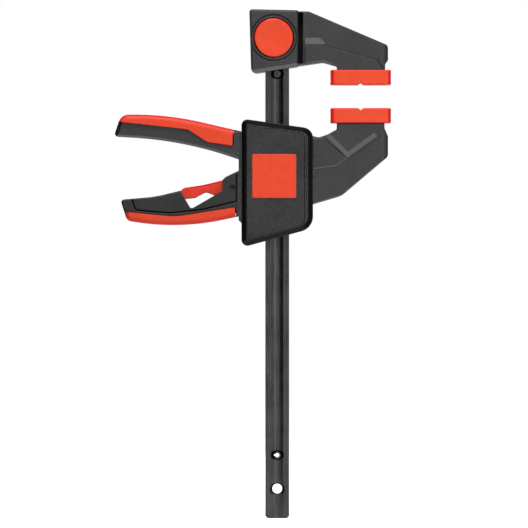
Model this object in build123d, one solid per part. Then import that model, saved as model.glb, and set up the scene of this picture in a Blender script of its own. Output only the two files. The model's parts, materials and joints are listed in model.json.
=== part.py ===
from build123d import *
import os
from math import cos, radians, sin, tan

# Quick release bar clamp, in millimetres. +Z is up along the rail, and the front faces -Y.
# The origin is the centre of the fixed pad's clamping face. The moving jaw is drawn in its own
# frame, with Z = 0 on the moving pad's clamping face, and is then lowered by the opening.

# --- Overall ---
throat = 60.0            # centre of the pads to the near face of the rail
opening = 19.5           # gap between the pads as modelled
running_gap = 0.05       # radial gap of a pin in its bore
slide_gap = 0.15         # each side, between the rail and what guides it
free_gap = 0.3           # between two pieces that move past each other
pass_gap = 0.6           # each side, where the rail passes through a wall

# --- Rail ---
rail_width = 20.0
rail_thickness = 9.6
rail_above_jaw = 60.0    # top of the rail above the fixed pad's face
rail_length = 423.6
rail_edge_radius = 0.8
rail_end_chamfer = 2.0
groove_width = 10.0
groove_depth = 2.0
latch_hole_radius = 4.1
latch_hole_from_top = 20.6
latch_hole_from_bottom = 24.8
hole_sink_radius = 6.4   # countersink of the latch holes, at the rail's face
hole_sink_depth = 1.2    # and below the groove's floor
stop_sink_radius = 5.6   # countersink of the stop pins' holes
stop_sink_depth = 1.6
stop_pin_from_hole = 28.2    # at the rail's lower end
stop_pin_under_head = 0.5    # from the head's underside to the upper pin
stop_pin_radius = 2.8
stop_pin_wall = 1.1
stop_pin_slot = 1.2
stop_pin_proud = 1.6     # beyond the rail's faces, each end
stop_pin_web = 2.0       # left in the middle of the upper pin's bore

# --- Fixed jaw: head block and arm ---
head_width = 41.0
head_offset = -3.0       # middle of the head block, from the rail's axis
head_depth = 34.0
head_top = 62.8          # above the pad's face
head_bottom = 12.6       # on the rail's axis
head_bottom_slope = 8.6  # degrees
head_top_slope = 1.3     # degrees
head_taper = 1.6         # the left side leans in by this much at the bottom
head_corner_radii = (2.5, 5.0)    # upper and lower left corner
head_edge_radius = 2.2
head_low_bevel = (3.0, 1.8)      # of the head's lower edge: width on its face, and depth
arm_thickness = 22.0
arm_edge_radius = 1.5
arm_nose_reach = 23.0    # the arms' outer end, from the middle of the pad
arm_nose_corner = 6.0    # plan radius of that end
nose_overhang = 3.0      # the arm's end beyond its neck
neck_thickness = 29.0
relief_edge_radius = 0.8     # of the raised necks' edges
relief_bevel = 2.3       # depth of the bevels on their outer edges
fixed_bevel_run = 2.3    # and their width on the face
moving_bevel_run = 4.0
relief_facet = 5.0       # wide facet on the fixed neck's upper edge, beside the head
fixed_neck_height = 6.2  # from the pad's seat up to the underside of the arm
fixed_nose_low = 8.2     # nose's lower and upper corner, above the pad's seat
fixed_nose_high = 20.7
fixed_arm_flat = 9.0     # level stretch on top, beside the head block
fixed_relief_top = 26.8  # the raised neck's upper edge beside the head, above the pad's seat
fixed_relief_low = 9.9   # and at its outer end
rib_slot_width = 4.2     # deep slot between the head block and the arm
rib_slot_walls = (2.6, 1.6)      # below and above that slot
neck_set = 1.6           # raised neck's left end, right of that slot
rib_slot_web = 6.0       # left between the front and rear slots

# --- Pads ---
pad_overhang = 2.4       # beyond the arm's end
pad_depth = 32.0
pad_height = 12.5
pad_corner_radius = 4.5
pad_edge_radius = 1.0
pad_groove_width = 4.5
pad_groove_depth = 1.8
pad_foot_length = 32.0   # the jaws' foot inside the pad
pad_foot_depth = 16.0
pad_foot_height = 6.0

# --- Head lock ---
button_radius = 16.25
button_thickness = 5.0
button_proud = 1.2
button_stroke = 4.0
button_dish = 0.8
button_gap = 0.85        # all round, in its bore
collar_radius = 18.3
collar_height = 0.6
collar_groove_radius = 19.9
collar_groove_depth = 2.8
leg_thickness = 2.5
leg_height = 5.0
yoke_thickness = 3.0
yoke_height = 7.0
lock_pin_radius = 4.0
lock_pin_engagement = 3.3    # into the rail's web
head_cover_thickness = 2.5
head_cover_half = (16.0, 19.0)
head_screw_inset = 4.0
small_screw_radius = 0.8
lock_spring_radius = 4.6
lock_spring_wire = 0.8
lock_spring_turns = 3.0

# --- Housing of the moving jaw ---
housing_width = 60.0
housing_depth = 34.0
housing_wall = 3.0
housing_top = 13.0           # below the moving pad's face, on the rail's axis
housing_bottom = 108.8
housing_top_slope = 8.1      # degrees
housing_bottom_slope = 15.2  # degrees
housing_corner_radius = 5.0
housing_low_corner_radius = 13.0
housing_edge_radius = 2.6
rim_bevel = (4.4, 2.2)       # of the cover's rim: width on its face, and depth
cover_depth = 6.0            # front cover, from its face to the joint with the jaw body
cover_face_depth = 3.0       # raised front plate above the rim
cover_insets = (4.0, 6.7, 4.6, 4.4)    # of the plate: left, right, top, bottom
cover_lip = 2.0              # plate's edge to the hollow behind it
rim_hollow = 1.4             # depth of the hollow behind the rim
side_strip = 2.4             # the cover's inner layer reaches this far past the left side
badge_size = 36.8
badge_centre = (-2.6, -57.0)  # from the rail's axis, and below the moving pad's face
badge_thickness = 2.1
badge_proud = 0.6
badge_corner_radius = 1.5
cover_screw_radius = 1.5
screw_head_radius = 2.9
screw_head_height = 2.0
screw_seat_depth = 2.6
screw_boss_radius = 4.0
screw_sets = (8.0, 10.0)     # cover screws, from the housing's left and right side
pivot_boss_radius = 6.0
brake_boss_radius = 4.0
blind_wall = 1.6              # left outside the blind ends of the pins and screws
trigger_opening = (46.5, 96.5)    # upper and lower edge of the housing's open left side

# --- Arm of the moving jaw ---
moving_neck_height = 5.0
moving_nose_low = 11.1
moving_nose_high = 28.1
moving_arm_slope = 40.2      # degrees
moving_arm_root = 68.2       # lower corner of the arm at the housing, below the pad's seat
moving_valley = 12.1         # lowest point of the arm's top edge, below the pad's seat
moving_valley_set = 4.7      # that point, from the housing's side
valley_rise = 1.3            # from there up to the housing
moving_relief_vertex = (8.7, 29.2)    # lowest corner of the raised neck: from its left, depth

# --- Fixed handle ---
handle_reach = 106.6         # left end, from the housing's side
handle_top = 5.3             # its highest point, below the moving pad's face
handle_tip_low = 23.7        # its pointed lower end
handle_tip_slant = 6.1       # how far the end leans back at the top
handle_low_bend = (57.1, 27.0, 310.0)     # bend of the lower edge: from the end, depth, radius
handle_top_bend = (45.1, 250.0)           # bend of the upper edge: from the end, radius
handle_root = (19.7, 44.0)   # upper and lower edge at the housing
grip_line_end = 10.4         # lower edge of the soft grip: at the end
grip_line_bends = ((61.5, 17.9), (77.5, 28.4))    # at its two bends: from the end, depth
grip_line_root = 31.9        # beside the housing
handle_thickness = 22.0
grip_thickness = 26.0
grip_wall = 3.0
spine_thickness = 15.0
handle_edge_radius = 2.5
handle_tip_bevel = (3.2, 2.6)    # of the core's left end: width on its face, and depth
grip_edge_radius = 4.5
grip_end_gap = 6.5           # grip's end to the housing's side

# --- Trigger ---
trigger_end_set = 5.2            # its end, in from the fixed handle's end
trigger_top = 76.8               # its end's upper corner, below the moving pad's face
trigger_tip_low = 94.6           # its end's lower corner
trigger_low_bend = (51.0, 101.0, 200.0)   # bend of the lower edge: from its end, depth, radius
trigger_low_root = 90.0          # lower edge at the housing
trigger_line_end = 86.2          # upper edge of the soft grip: at the end
trigger_line_bends = ((46.0, 91.2), (71.0, 87.2))     # at its two bends: from the end, depth
trigger_line_root = 83.1         # beside the housing
trigger_thickness = 21.4
trigger_edge_radius = 1.5
trigger_pivot = (-22.0, -57.5)   # from the rail's axis, and below the moving pad's face
trigger_pin_radius = 2.5
trigger_hub_radius = 5.5
trigger_slot = 14.4
trigger_window_set = 16.0        # right end of the window in its top, left of the housing
nose_reach = 8.0
nose_radius = 2.5
nose_width = 12.0
panel_groove = 1.7
panel_groove_depth = 1.6

# --- Release lever ---
lever_pivot = (-37.4, -65.9)     # from the rail's axis, and below the moving pad's face
lever_thickness = 13.6
lever_bevel = (1.5, 2.4)         # of the blade's top edges: width on its face, and depth
lever_hub_radius = 5.4
lever_pin_radius = 1.75
lever_tip = (-31.7, -76.3)
lever_tip_radius = 1.5
pin_head_radius = 2.3
pin_head_height = 0.5
pin_dimple = (1.1, 1.2)          # radius and depth of the hollow in each end

# --- Drive and brake plates ---
plate_half_depth = 10.6
plate_hole_gap = 0.35
drive_plate_thickness = 2.5
drive_plate_reach = (16.0, 13.0)     # left and right of the rail's axis
drive_spring_length = 15.4
drive_spring_radius = 12.5
drive_spring_wire = 1.2
drive_spring_turns = 4.0
rib_thickness = 2.5
brake_pin_place = (-21.5, -86.5)
brake_pin_radius = 2.0
brake_plate_thickness = 2.5
brake_plate_reach = 22.0             # right end, from the rail's axis
brake_tilt = 5.0                     # degrees, gripping
brake_tail_set = 7.5                 # tail's outer face, left of the brake pin
brake_tail_height = 12.5
brake_tail_width = 11.0
brake_spring_offset = 18.5           # from the rail's axis
brake_spring_seat = 97.0
brake_spring_radius = 3.0
brake_spring_wire = 0.9
brake_spring_turns = 4.0
guide_width = 26.0
guide_spans = ((20.0, 32.0), (94.0, 102.0))   # upper and lower guide, below the moving pad's face

# --- Worked out from the above ---
rail_x = -(throat + rail_width / 2)
neck_half_width = arm_nose_reach - nose_overhang
pad_length = 2 * (arm_nose_reach + pad_overhang)
half_rail = rail_thickness / 2
rail_top = rail_above_jaw
rail_bottom = rail_top - rail_length
upper_hole_z = rail_top - latch_hole_from_top
lower_hole_z = rail_bottom + latch_hole_from_bottom
upper_stop_z = head_bottom - stop_pin_under_head - stop_pin_radius
lower_stop_z = lower_hole_z + stop_pin_from_hole
head_x = rail_x + head_offset
head_left = head_x - head_width / 2
head_right = head_x + head_width / 2
head_front = -head_depth / 2
housing_left = rail_x - housing_width / 2
housing_right = rail_x + housing_width / 2
housing_front = -housing_depth / 2
housing_back = housing_depth / 2
joint_plane = housing_front + cover_depth
inner_front = housing_front + housing_wall
inner_back = housing_back - housing_wall
window_right = housing_left - trigger_window_set
pivot_x = rail_x + trigger_pivot[0]
pivot_z = trigger_pivot[1]
lever_x = rail_x + lever_pivot[0]
lever_z = lever_pivot[1]
brake_x = rail_x + brake_pin_place[0]
brake_z = brake_pin_place[1]
plates_top = pivot_z - nose_radius - running_gap
drive_spring_top = plates_top - 2 * drive_plate_thickness
drive_spring_seat = drive_spring_top - drive_spring_length
cover_screw_places = [
    (housing_left + screw_sets[0], -20.0),
    (housing_right - screw_sets[1], -27.0),
    (housing_right - screw_sets[1], -72.0),
    (housing_left + screw_sets[0], -103.0),
]
button_back = head_front - button_proud + button_thickness
yoke_front = half_rail + free_gap * 2
lock_pin_tip = half_rail - groove_depth - lock_pin_engagement
head_cover_front = head_depth / 2 - head_cover_thickness


# --- Helpers ---
def fitted_radii(corners):
    """The corner radii, made smaller where two roundings don't fit on the edge between them."""
    count = len(corners)
    points = [Vector(x, z) for x, z, _ in corners]
    reach = []
    for i, point in enumerate(points):
        before, after = points[i - 1] - point, points[(i + 1) % count] - point
        reach.append(corners[i][2] / tan(radians(before.get_angle(after)) / 2))
    share = [1.0] * count
    for i in range(count):
        j = (i + 1) % count
        room = 0.98 * (points[j] - points[i]).length
        if reach[i] + reach[j] > room:
            fit = room / (reach[i] + reach[j])
            share[i], share[j] = min(share[i], fit), min(share[j], fit)
    return [r * part for (_, _, r), part in zip(corners, share)]


def outline(corners):
    """Closed face in the XZ plane from (x, z, corner radius) rows."""
    points = [(x, z) for x, z, _ in corners]
    wire = FilletPolyline(*points, radius=fitted_radii(corners), close=True)
    return Plane.XZ * make_face(wire)


def slab(face, y_from, y_to):
    """Extrudes a face of the XZ plane from one depth to another."""
    return extrude(Pos(0, y_from, 0) * face, amount=y_to - y_from, dir=(0, 1, 0))


def middle_slab(face, thickness):
    return slab(face, -thickness / 2, thickness / 2)


def round_slab(face, y_from, y_to, radius, front=True, back=True):
    """A slab with the edges of its front and back faces rounded."""
    body = slab(face, y_from, y_to)
    faces = body.faces().sort_by(Axis.Y)
    ends = ([faces[0]] if front else []) + ([faces[-1]] if back else [])
    return fillet([edge for end in ends for edge in end.edges()], radius)


def bevel_slab(face, thickness, width):
    """A slab about the middle plane with bevelled front and back edges."""
    body = middle_slab(face, thickness)
    faces = body.faces().sort_by(Axis.Y)
    return chamfer(faces[0].edges() + faces[-1].edges(), width)


def edge_wedges(start, end, thickness, run, depth, over=2.0):
    """What bevels a slab's front and back along a straight edge, from one (x, z) point to another.
    The slab lies to the left of that line; the bevel is as wide as the run, and as deep as given."""
    line = Vector(end[0] - start[0], 0, end[1] - start[1])
    way = line.normalized()
    inward = Vector(-way.Z, 0, way.X)
    origin = Vector(start[0], 0, start[1]) - way * over
    half = thickness / 2
    side = Polygon((-1, half + 1), (run + run / depth, half + 1),
                   (-1, half - depth - depth / run), align=None)
    prism = extrude(Plane(origin=origin, x_dir=inward, z_dir=way) * side,
                    amount=line.length + 2 * over, dir=(way.X, way.Y, way.Z))
    return prism + mirror(prism, Plane.XZ)


def box(x_from, x_to, y_from, y_to, z_from, z_to):
    middle = ((x_from + x_to) / 2, (y_from + y_to) / 2, (z_from + z_to) / 2)
    return Pos(*middle) * Box(abs(x_to - x_from), abs(y_to - y_from), abs(z_to - z_from))


def rod(x, z, radius, y_from, y_to):
    """Cylinder along Y."""
    middle = (x, (y_from + y_to) / 2, z)
    return Pos(*middle) * Rot(90, 0, 0) * Cylinder(radius, abs(y_to - y_from))


def sink(x, z, inner, outer, y_mouth, y_bottom):
    """Cone along Y for a countersink, wide at its mouth."""
    height = abs(y_bottom - y_mouth)
    turn = 90 if y_mouth < y_bottom else -90
    return Pos(x, (y_mouth + y_bottom) / 2, z) * Rot(turn, 0, 0) * Cone(inner, outer, height)


def rail_passage(gap, z_from, z_to):
    half = rail_width / 2 + gap
    return box(rail_x - half, rail_x + half, -half_rail - gap, half_rail + gap, z_from, z_to)


def coil(radius, wire, turns, length):
    """Coil spring standing on Z = 0, along +Z."""
    rise = length - wire
    path = Helix(pitch=rise / turns, height=rise, radius=radius)
    section = Plane(origin=path @ 0, z_dir=path % 0) * Circle(wire / 2)
    return Pos(0, 0, wire / 2) * sweep(section, path=path)


def screw(x, z, y_head, length, radius, head_radius, head_height):
    """Round-head screw whose head faces +Y: the head's back is at y_head."""
    shank = rod(x, z, radius, y_head - head_height - length, y_head - head_height)
    head = rod(x, z, head_radius, y_head - head_height, y_head)
    top = head.faces().sort_by(Axis.Y)[-1]
    head = fillet(top.edges(), head_height * 0.35)
    drive = box(x - head_radius * 0.6, x + head_radius * 0.6, y_head - head_height * 0.6,
                y_head + 1, z - head_radius * 0.16, z + head_radius * 0.16)
    cross = Pos(x, 0, z) * Rot(0, 90, 0) * Pos(-x, 0, -z) * drive
    return head + shank - drive - cross


# --- Rail ---
def make_rail():
    middle_z = (rail_top + rail_bottom) / 2
    body = Pos(rail_x, 0, middle_z) * Box(rail_width, rail_thickness, rail_length)
    body = chamfer(body.faces().sort_by(Axis.Z)[0].edges().filter_by(Axis.Y), rail_end_chamfer)
    long_edges = [e for e in body.edges().filter_by(Axis.Z) if e.length > rail_length / 2]
    body = fillet(long_edges, rail_edge_radius)
    groove_radius = (groove_width ** 2 / 4 + groove_depth ** 2) / (2 * groove_depth)
    for side in (-1, 1):
        centre_y = side * (half_rail - groove_depth + groove_radius)
        body -= Pos(rail_x, centre_y, middle_z) * Cylinder(groove_radius, rail_length + 1)
        floor = half_rail - groove_depth
        for z in (upper_hole_z, lower_hole_z):
            body -= sink(rail_x, z, latch_hole_radius, hole_sink_radius,
                         side * half_rail, side * (floor - hole_sink_depth))
        for z in (upper_stop_z, lower_stop_z):
            body -= sink(rail_x, z, stop_pin_radius, stop_sink_radius,
                         side * half_rail, side * (floor - stop_sink_depth))
    for z in (upper_hole_z, lower_hole_z):
        body -= rod(rail_x, z, latch_hole_radius, -half_rail, half_rail)
    for z in (upper_stop_z, lower_stop_z):
        body -= rod(rail_x, z, stop_pin_radius, -half_rail, half_rail)
    return body


def make_stop_pin(z, web=0.0):
    """Slotted pin across the rail, with a bore that a web may close."""
    half = half_rail + stop_pin_proud
    pin = rod(rail_x, z, stop_pin_radius, -half, half)
    for side in (-1, 1):
        near, far = side * web / 2, side * (half + 1)
        pin -= rod(rail_x, z, stop_pin_radius - stop_pin_wall, near, far)
        pin -= box(rail_x - stop_pin_radius - 1, rail_x, near, far,
                   z - stop_pin_slot / 2, z + stop_pin_slot / 2)
    return pin


# --- Fixed jaw ---
def head_bottom_at(x):
    return head_bottom + (x - rail_x) * tan(radians(head_bottom_slope))


def head_top_at(x):
    return head_top - (x - rail_x) * tan(radians(head_top_slope))


def head_face():
    return outline([
        (head_left, head_top_at(head_left), head_corner_radii[0]),
        (head_right, head_top_at(head_right), 1.0),
        (head_right, head_bottom_at(head_right), 1.0),
        (head_left + head_taper, head_bottom_at(head_left), head_corner_radii[1]),
    ])


def fixed_arm_face():
    flat_end = head_right + fixed_arm_flat
    top = head_top_at(head_right)
    seat = pad_height
    return outline([
        (-neck_half_width, seat, 0),
        (-neck_half_width, seat + fixed_neck_height / 2, 1.5),
        (-neck_half_width - 11.5, seat + fixed_neck_height, 8),
        (head_right - 8, head_bottom_at(head_right - 8) + 0.5, 0),
        (head_right - 8, top - 0.5, 0),
        (flat_end, top - 0.8, 8),
        (arm_nose_reach, seat + fixed_nose_high, 4),
        (arm_nose_reach, seat + fixed_nose_low, 2),
        (neck_half_width + 0.5, seat + fixed_nose_low - 3.4, 1),
        (neck_half_width + 0.5, seat, 0),
    ])


def nose_rounding(body, z_from, z_to):
    """Rounds the arm's free end in plan, front and back."""
    corner = box(arm_nose_reach - arm_nose_corner, arm_nose_reach + 1,
                 arm_thickness / 2 - arm_nose_corner, neck_thickness / 2 + 1, z_from, z_to)
    middle = (arm_nose_reach - arm_nose_corner, arm_thickness / 2 - arm_nose_corner)
    keep = Pos(*middle, (z_from + z_to) / 2) * Cylinder(arm_nose_corner, abs(z_to - z_from))
    cutter = corner - keep
    return body - cutter - mirror(cutter, Plane.XZ)


def pad_foot(z_from, z_to):
    half_x, half_y = pad_foot_length / 2, pad_foot_depth / 2
    return box(-half_x, half_x, -half_y, half_y, z_from, z_to)


def lock_leg_spans():
    """X ranges of the button's two legs, one each side of the rail."""
    near = rail_width / 2 + slide_gap + 0.2
    return [(rail_x - near - leg_thickness, rail_x - near),
            (rail_x + near, rail_x + near + leg_thickness)]


def yoke_span():
    legs = lock_leg_spans()
    return legs[0][0], legs[1][1]


def head_screw_places():
    half_x = head_cover_half[0] - head_screw_inset
    half_z = head_cover_half[1] - head_screw_inset
    return [(head_x + sx * half_x, upper_hole_z + sz * half_z)
            for sx in (-1, 1) for sz in (-1, 1)]


def fixed_relief():
    """Raised neck of the arm, above the pad, with a wide facet on its upper edge."""
    seat = pad_height
    top = seat + fixed_relief_top
    left = head_right + rib_slot_width + neck_set
    corner = -neck_half_width - 9.5
    half = neck_thickness / 2
    low_corner = (neck_half_width - 6.0, seat + fixed_relief_low)
    neck = round_slab(outline([
        (left, top - relief_facet, 0),
        (corner, top - relief_facet, 0),
        (*low_corner, 0),
        (neck_half_width - 1.5, seat + 3.5, 0),
        (neck_half_width - 1.5, seat, 0),
        (-neck_half_width + 0.6, seat, 0),
        (-neck_half_width + 0.2, seat + 3.2, 2),
        (-neck_half_width - 11.5, seat + fixed_neck_height + 1.5, 8),
        (left, seat + fixed_neck_height - 0.5, 0),
    ]), -half, half, relief_edge_radius)
    for start, end in ((low_corner, (corner, top - relief_facet)),
                       ((neck_half_width - 1.5, seat + 3.5), low_corner)):
        neck -= edge_wedges(start, end, neck_thickness, fixed_bevel_run, relief_bevel)
    facet = middle_slab(outline([
        (left, top, 0),
        (corner - 4.0, top, 0),
        (corner, top - relief_facet, 0),
        (corner, top - relief_facet - relief_bevel - 1, 0),
        (left, top - relief_facet - relief_bevel - 1, 0),
    ]), neck_thickness)
    slope = relief_facet / (neck_thickness - arm_thickness) * 2
    above = Plane.YZ * Polygon(
        (arm_thickness / 2, top),
        (neck_thickness / 2 + 1, top - relief_facet - slope),
        (neck_thickness / 2 + 1, top + 1),
        (arm_thickness / 2, top + 1),
        align=None)
    cutter = extrude(Pos(left - 1, 0, 0) * above, amount=corner + 2 - left, dir=(1, 0, 0))
    return neck + (facet - cutter - mirror(cutter, Plane.XZ))


def make_fixed_jaw():
    body = round_slab(head_face(), head_front, -head_front, head_edge_radius)
    body -= edge_wedges((head_left, head_bottom_at(head_left)), (head_right, head_bottom_at(head_right)),
                        head_depth, *head_low_bevel)
    arm = round_slab(fixed_arm_face(), -arm_thickness / 2, arm_thickness / 2, arm_edge_radius)
    body += nose_rounding(arm, 0, head_top) + fixed_relief()
    body += pad_foot(pad_height - pad_foot_height, pad_height + 2)
    for side in (-1, 1):
        slot_low = head_bottom_at(head_right) + rib_slot_walls[0]
        slot_high = head_top_at(head_right) - rib_slot_walls[1]
        body -= box(head_right, head_right + rib_slot_width, side * rib_slot_web / 2,
                    side * (head_depth / 2 + 1), slot_low, slot_high)
    body -= rail_passage(slide_gap, 0, rail_top + free_gap)
    body += rod(head_x, upper_hole_z, collar_radius, head_front - collar_height, head_front + 1)
    ring = rod(head_x, upper_hole_z, collar_groove_radius, head_front - 1,
               head_front + collar_groove_depth)
    body -= ring - rod(head_x, upper_hole_z, collar_radius, head_front - 2, head_front + 5)
    bore_floor = button_back + button_stroke + free_gap
    body -= rod(head_x, upper_hole_z, button_radius + button_gap, head_front - 2, bore_floor)
    for x_from, x_to in lock_leg_spans():
        body -= box(x_from - 0.2, x_to + 0.2, bore_floor - 1, head_cover_front,
                    upper_hole_z - leg_height / 2 - free_gap, upper_hole_z + leg_height / 2 + free_gap)
    yoke_from, yoke_to = yoke_span()
    body -= box(yoke_from - free_gap, yoke_to + free_gap, half_rail, head_cover_front,
                upper_hole_z - yoke_height / 2 - free_gap, upper_hole_z + yoke_height / 2 + free_gap)
    body -= rod(rail_x, upper_hole_z, lock_spring_radius + 1.0, half_rail, head_cover_front)
    body -= box(head_x - head_cover_half[0], head_x + head_cover_half[0], head_cover_front,
                head_depth, upper_hole_z - head_cover_half[1], upper_hole_z + head_cover_half[1])
    for x, z in head_screw_places():
        body -= rod(x, z, cover_screw_radius, head_cover_front - 7, head_cover_front)
    return body


def make_head_cover():
    half_x, half_z = head_cover_half
    plate = box(head_x - half_x, head_x + half_x, head_cover_front, head_depth / 2,
                upper_hole_z - half_z, upper_hole_z + half_z)
    plate = chamfer(plate.faces().sort_by(Axis.Y)[-1].edges(), 0.5)
    for x, z in head_screw_places():
        plate -= rod(x, z, cover_screw_radius, head_cover_front, head_depth / 2)
    return plate


def make_head_cover_screws():
    y_head = head_depth / 2 + screw_head_height * 0.8
    return Compound([screw(x, z, y_head, 7.0, cover_screw_radius, screw_head_radius - 0.4,
                           screw_head_height * 0.8) for x, z in head_screw_places()])


# --- Head lock ---
def make_lock_button():
    front = head_front - button_proud
    disc = rod(head_x, upper_hole_z, button_radius, front, button_back)
    disc = fillet(disc.faces().sort_by(Axis.Y)[0].edges(), 1.2)
    dish_radius = (button_radius ** 2 * 0.64 + button_dish ** 2) / (2 * button_dish)
    disc -= Pos(head_x, front + button_dish - dish_radius, upper_hole_z) * Sphere(dish_radius)
    for x_from, x_to in lock_leg_spans():
        leg = box(x_from, x_to, button_back, yoke_front,
                  upper_hole_z - leg_height / 2, upper_hole_z + leg_height / 2)
        middle_x = (x_from + x_to) / 2
        disc += leg - rod(middle_x, upper_hole_z, small_screw_radius, yoke_front - 5, yoke_front)
    return disc


def make_lock_yoke():
    yoke_from, yoke_to = yoke_span()
    bar = box(yoke_from, yoke_to, yoke_front, yoke_front + yoke_thickness,
              upper_hole_z - yoke_height / 2, upper_hole_z + yoke_height / 2)
    bar = fillet(bar.edges().filter_by(Axis.Y), 1.2)
    for x_from, x_to in lock_leg_spans():
        bar -= rod((x_from + x_to) / 2, upper_hole_z, small_screw_radius,
                   yoke_front, yoke_front + yoke_thickness)
    pin = rod(rail_x, upper_hole_z, lock_pin_radius, lock_pin_tip, yoke_front)
    pin = chamfer(pin.faces().sort_by(Axis.Y)[0].edges(), 0.6)
    return bar + pin


def make_yoke_screws():
    y_head = yoke_front + yoke_thickness + 1.0
    return Compound([screw((a + b) / 2, upper_hole_z, y_head, 7.0, small_screw_radius, 1.25, 1.0)
                     for a, b in lock_leg_spans()])


def make_lock_spring():
    start = yoke_front + yoke_thickness + running_gap
    length = head_cover_front - running_gap - start
    spring = coil(lock_spring_radius, lock_spring_wire, lock_spring_turns, length)
    return Pos(rail_x, head_cover_front - running_gap, upper_hole_z) * Rot(90, 0, 0) * spring


# --- Pads ---
def make_pad():
    """Pad whose clamping face is Z = 0, and whose back is up."""
    plan = RectangleRounded(pad_length, pad_depth, pad_corner_radius)
    pad = extrude(plan, amount=pad_height)
    pad = fillet(pad.faces().sort_by(Axis.Z)[0].edges(), pad_edge_radius)
    pad = fillet(pad.faces().sort_by(Axis.Z)[-1].edges(), pad_edge_radius)
    notch = outline([(-pad_groove_width / 2, -0.01, 0), (pad_groove_width / 2, -0.01, 0),
                     (0, pad_groove_depth, 0)])
    pad -= middle_slab(notch, pad_depth + 2)
    return pad - pad_foot(pad_height - pad_foot_height, pad_height)


# --- Moving jaw, in its own frame ---
def housing_top_at(x):
    return -housing_top - (x - rail_x) * tan(radians(housing_top_slope))


def housing_bottom_at(x):
    return -housing_bottom + (x - rail_x) * tan(radians(housing_bottom_slope))


def housing_face(inset=0.0, extra_left=0.0):
    """Outline of the housing, drawn in by a wall."""
    left = housing_left + inset - extra_left
    right = housing_right - inset
    rise = inset / cos(radians(housing_top_slope))
    drop = inset / cos(radians(housing_bottom_slope))
    small = max(housing_corner_radius - inset, 0.8)
    large = max(housing_low_corner_radius - inset, 0.8)
    return outline([
        (left, housing_top_at(left) - rise, small),
        (right, housing_top_at(right) - rise, small + 4),
        (right, housing_bottom_at(right) + drop, large),
        (left, housing_bottom_at(left) + drop, small),
    ])


def cover_plate_face():
    left, right, top, bottom = cover_insets
    x_from, x_to = housing_left + left, housing_right - right
    return outline([
        (x_from, housing_top_at(x_from) - top, 3.0),
        (x_to, housing_top_at(x_to) - top, 4.5),
        (x_to, housing_bottom_at(x_to) + bottom, 8.5),
        (x_from, housing_bottom_at(x_from) + bottom, 3.0),
    ])


def moving_arm_face():
    seat = -pad_height
    nose_low = seat - moving_nose_high
    tan_slope = tan(radians(moving_arm_slope))
    corner_x = -16.0
    corner_z = nose_low - (arm_nose_reach - corner_x) * tan_slope
    return outline([
        (-neck_half_width, seat, 0),
        (-neck_half_width, seat - moving_neck_height - 1.8, 2),
        (housing_right + moving_valley_set, seat - moving_valley, 7),
        (housing_right, seat - moving_valley + valley_rise, 0),
        (housing_right - 2, seat - moving_valley + valley_rise, 0),
        (housing_right - 2, seat - moving_arm_root - 0.7, 0),
        (housing_right, seat - moving_arm_root, 0),
        (corner_x, corner_z, 14),
        (arm_nose_reach, nose_low, 5),
        (arm_nose_reach, seat - moving_nose_low, 2),
        (neck_half_width, seat - moving_neck_height + 0.5, 1.5),
        (neck_half_width, seat, 0),
    ])


def moving_relief():
    """Raised neck under the pad, and the lower step beside the housing."""
    seat = -pad_height
    half = neck_thickness / 2
    vertex = (-neck_half_width + moving_relief_vertex[0], seat - moving_relief_vertex[1])
    left_corner = (-neck_half_width - 10.0, seat - 10.9)
    right_corner = (neck_half_width - 6.0, seat - 11.0)
    top_corner = (neck_half_width - 1.2, seat - moving_neck_height)
    neck = round_slab(outline([
        (-neck_half_width + 0.4, seat, 0),
        (-neck_half_width + 0.4, seat - moving_neck_height, 3),
        (*left_corner, 0),
        (*vertex, 0),
        (*right_corner, 0),
        (*top_corner, 0),
        (neck_half_width - 1.2, seat, 0),
    ]), -half, half, relief_edge_radius)
    for start, end in ((left_corner, vertex), (vertex, right_corner), (right_corner, top_corner)):
        neck -= edge_wedges(start, end, neck_thickness, moving_bevel_run, relief_bevel)
    step = bevel_slab(outline([
        (housing_right, seat - moving_valley - 0.2, 0),
        (-neck_half_width - 12.0, seat - moving_valley - 0.8, 2),
        (vertex[0] + 0.5, vertex[1] + 0.5, 1),
        (-neck_half_width, seat - 35.8, 6),
        (housing_right, seat - 38.6, 0),
    ]), arm_thickness + 1.6, 0.7)
    return neck + step


def handle_end():
    return housing_left - handle_reach


def handle_face(tip_radius):
    """Outline of the fixed handle, with the corner radius of its pointed lower end."""
    end, root = handle_end(), housing_left
    bend_x, bend_low, bend_radius = handle_low_bend
    return outline([
        (end - 0.5 + handle_tip_slant, -handle_top, 9),
        (end - 0.5, -handle_tip_low, tip_radius),
        (end + bend_x, -bend_low, bend_radius),
        (root + 1, -handle_root[1], 0),
        (root + 1, -handle_root[0], 0),
        (end + handle_top_bend[0], -handle_top, handle_top_bend[1]),
    ])


def handle_grip_side():
    """What lies above the lower edge of the fixed handle's soft grip."""
    end, root = handle_end(), housing_left
    (first_x, first_low), (second_x, second_low) = grip_line_bends
    return outline([
        (end - 5, -grip_line_end, 0),
        (end + first_x, -first_low, 10),
        (end + second_x, -second_low, 10),
        (root - grip_end_gap, -grip_line_root, 0.6),
        (root - grip_end_gap, 5, 0),
        (end - 5, 5, 0),
    ])


def grip_spine(whole):
    """Core of a handle inside its soft grip."""
    return middle_slab(offset(whole, amount=-grip_wall), spine_thickness)


def make_handle_core():
    whole, half = handle_face(handle_edge_radius + 0.1), handle_thickness / 2
    core = round_slab(whole, -half, half, handle_edge_radius)
    tip = handle_end() - 0.5
    core -= edge_wedges((tip + handle_tip_slant, -handle_top), (tip, -handle_tip_low),
                        handle_thickness, *handle_tip_bevel)
    return core - middle_slab(handle_grip_side(), grip_thickness) + grip_spine(whole)


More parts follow.
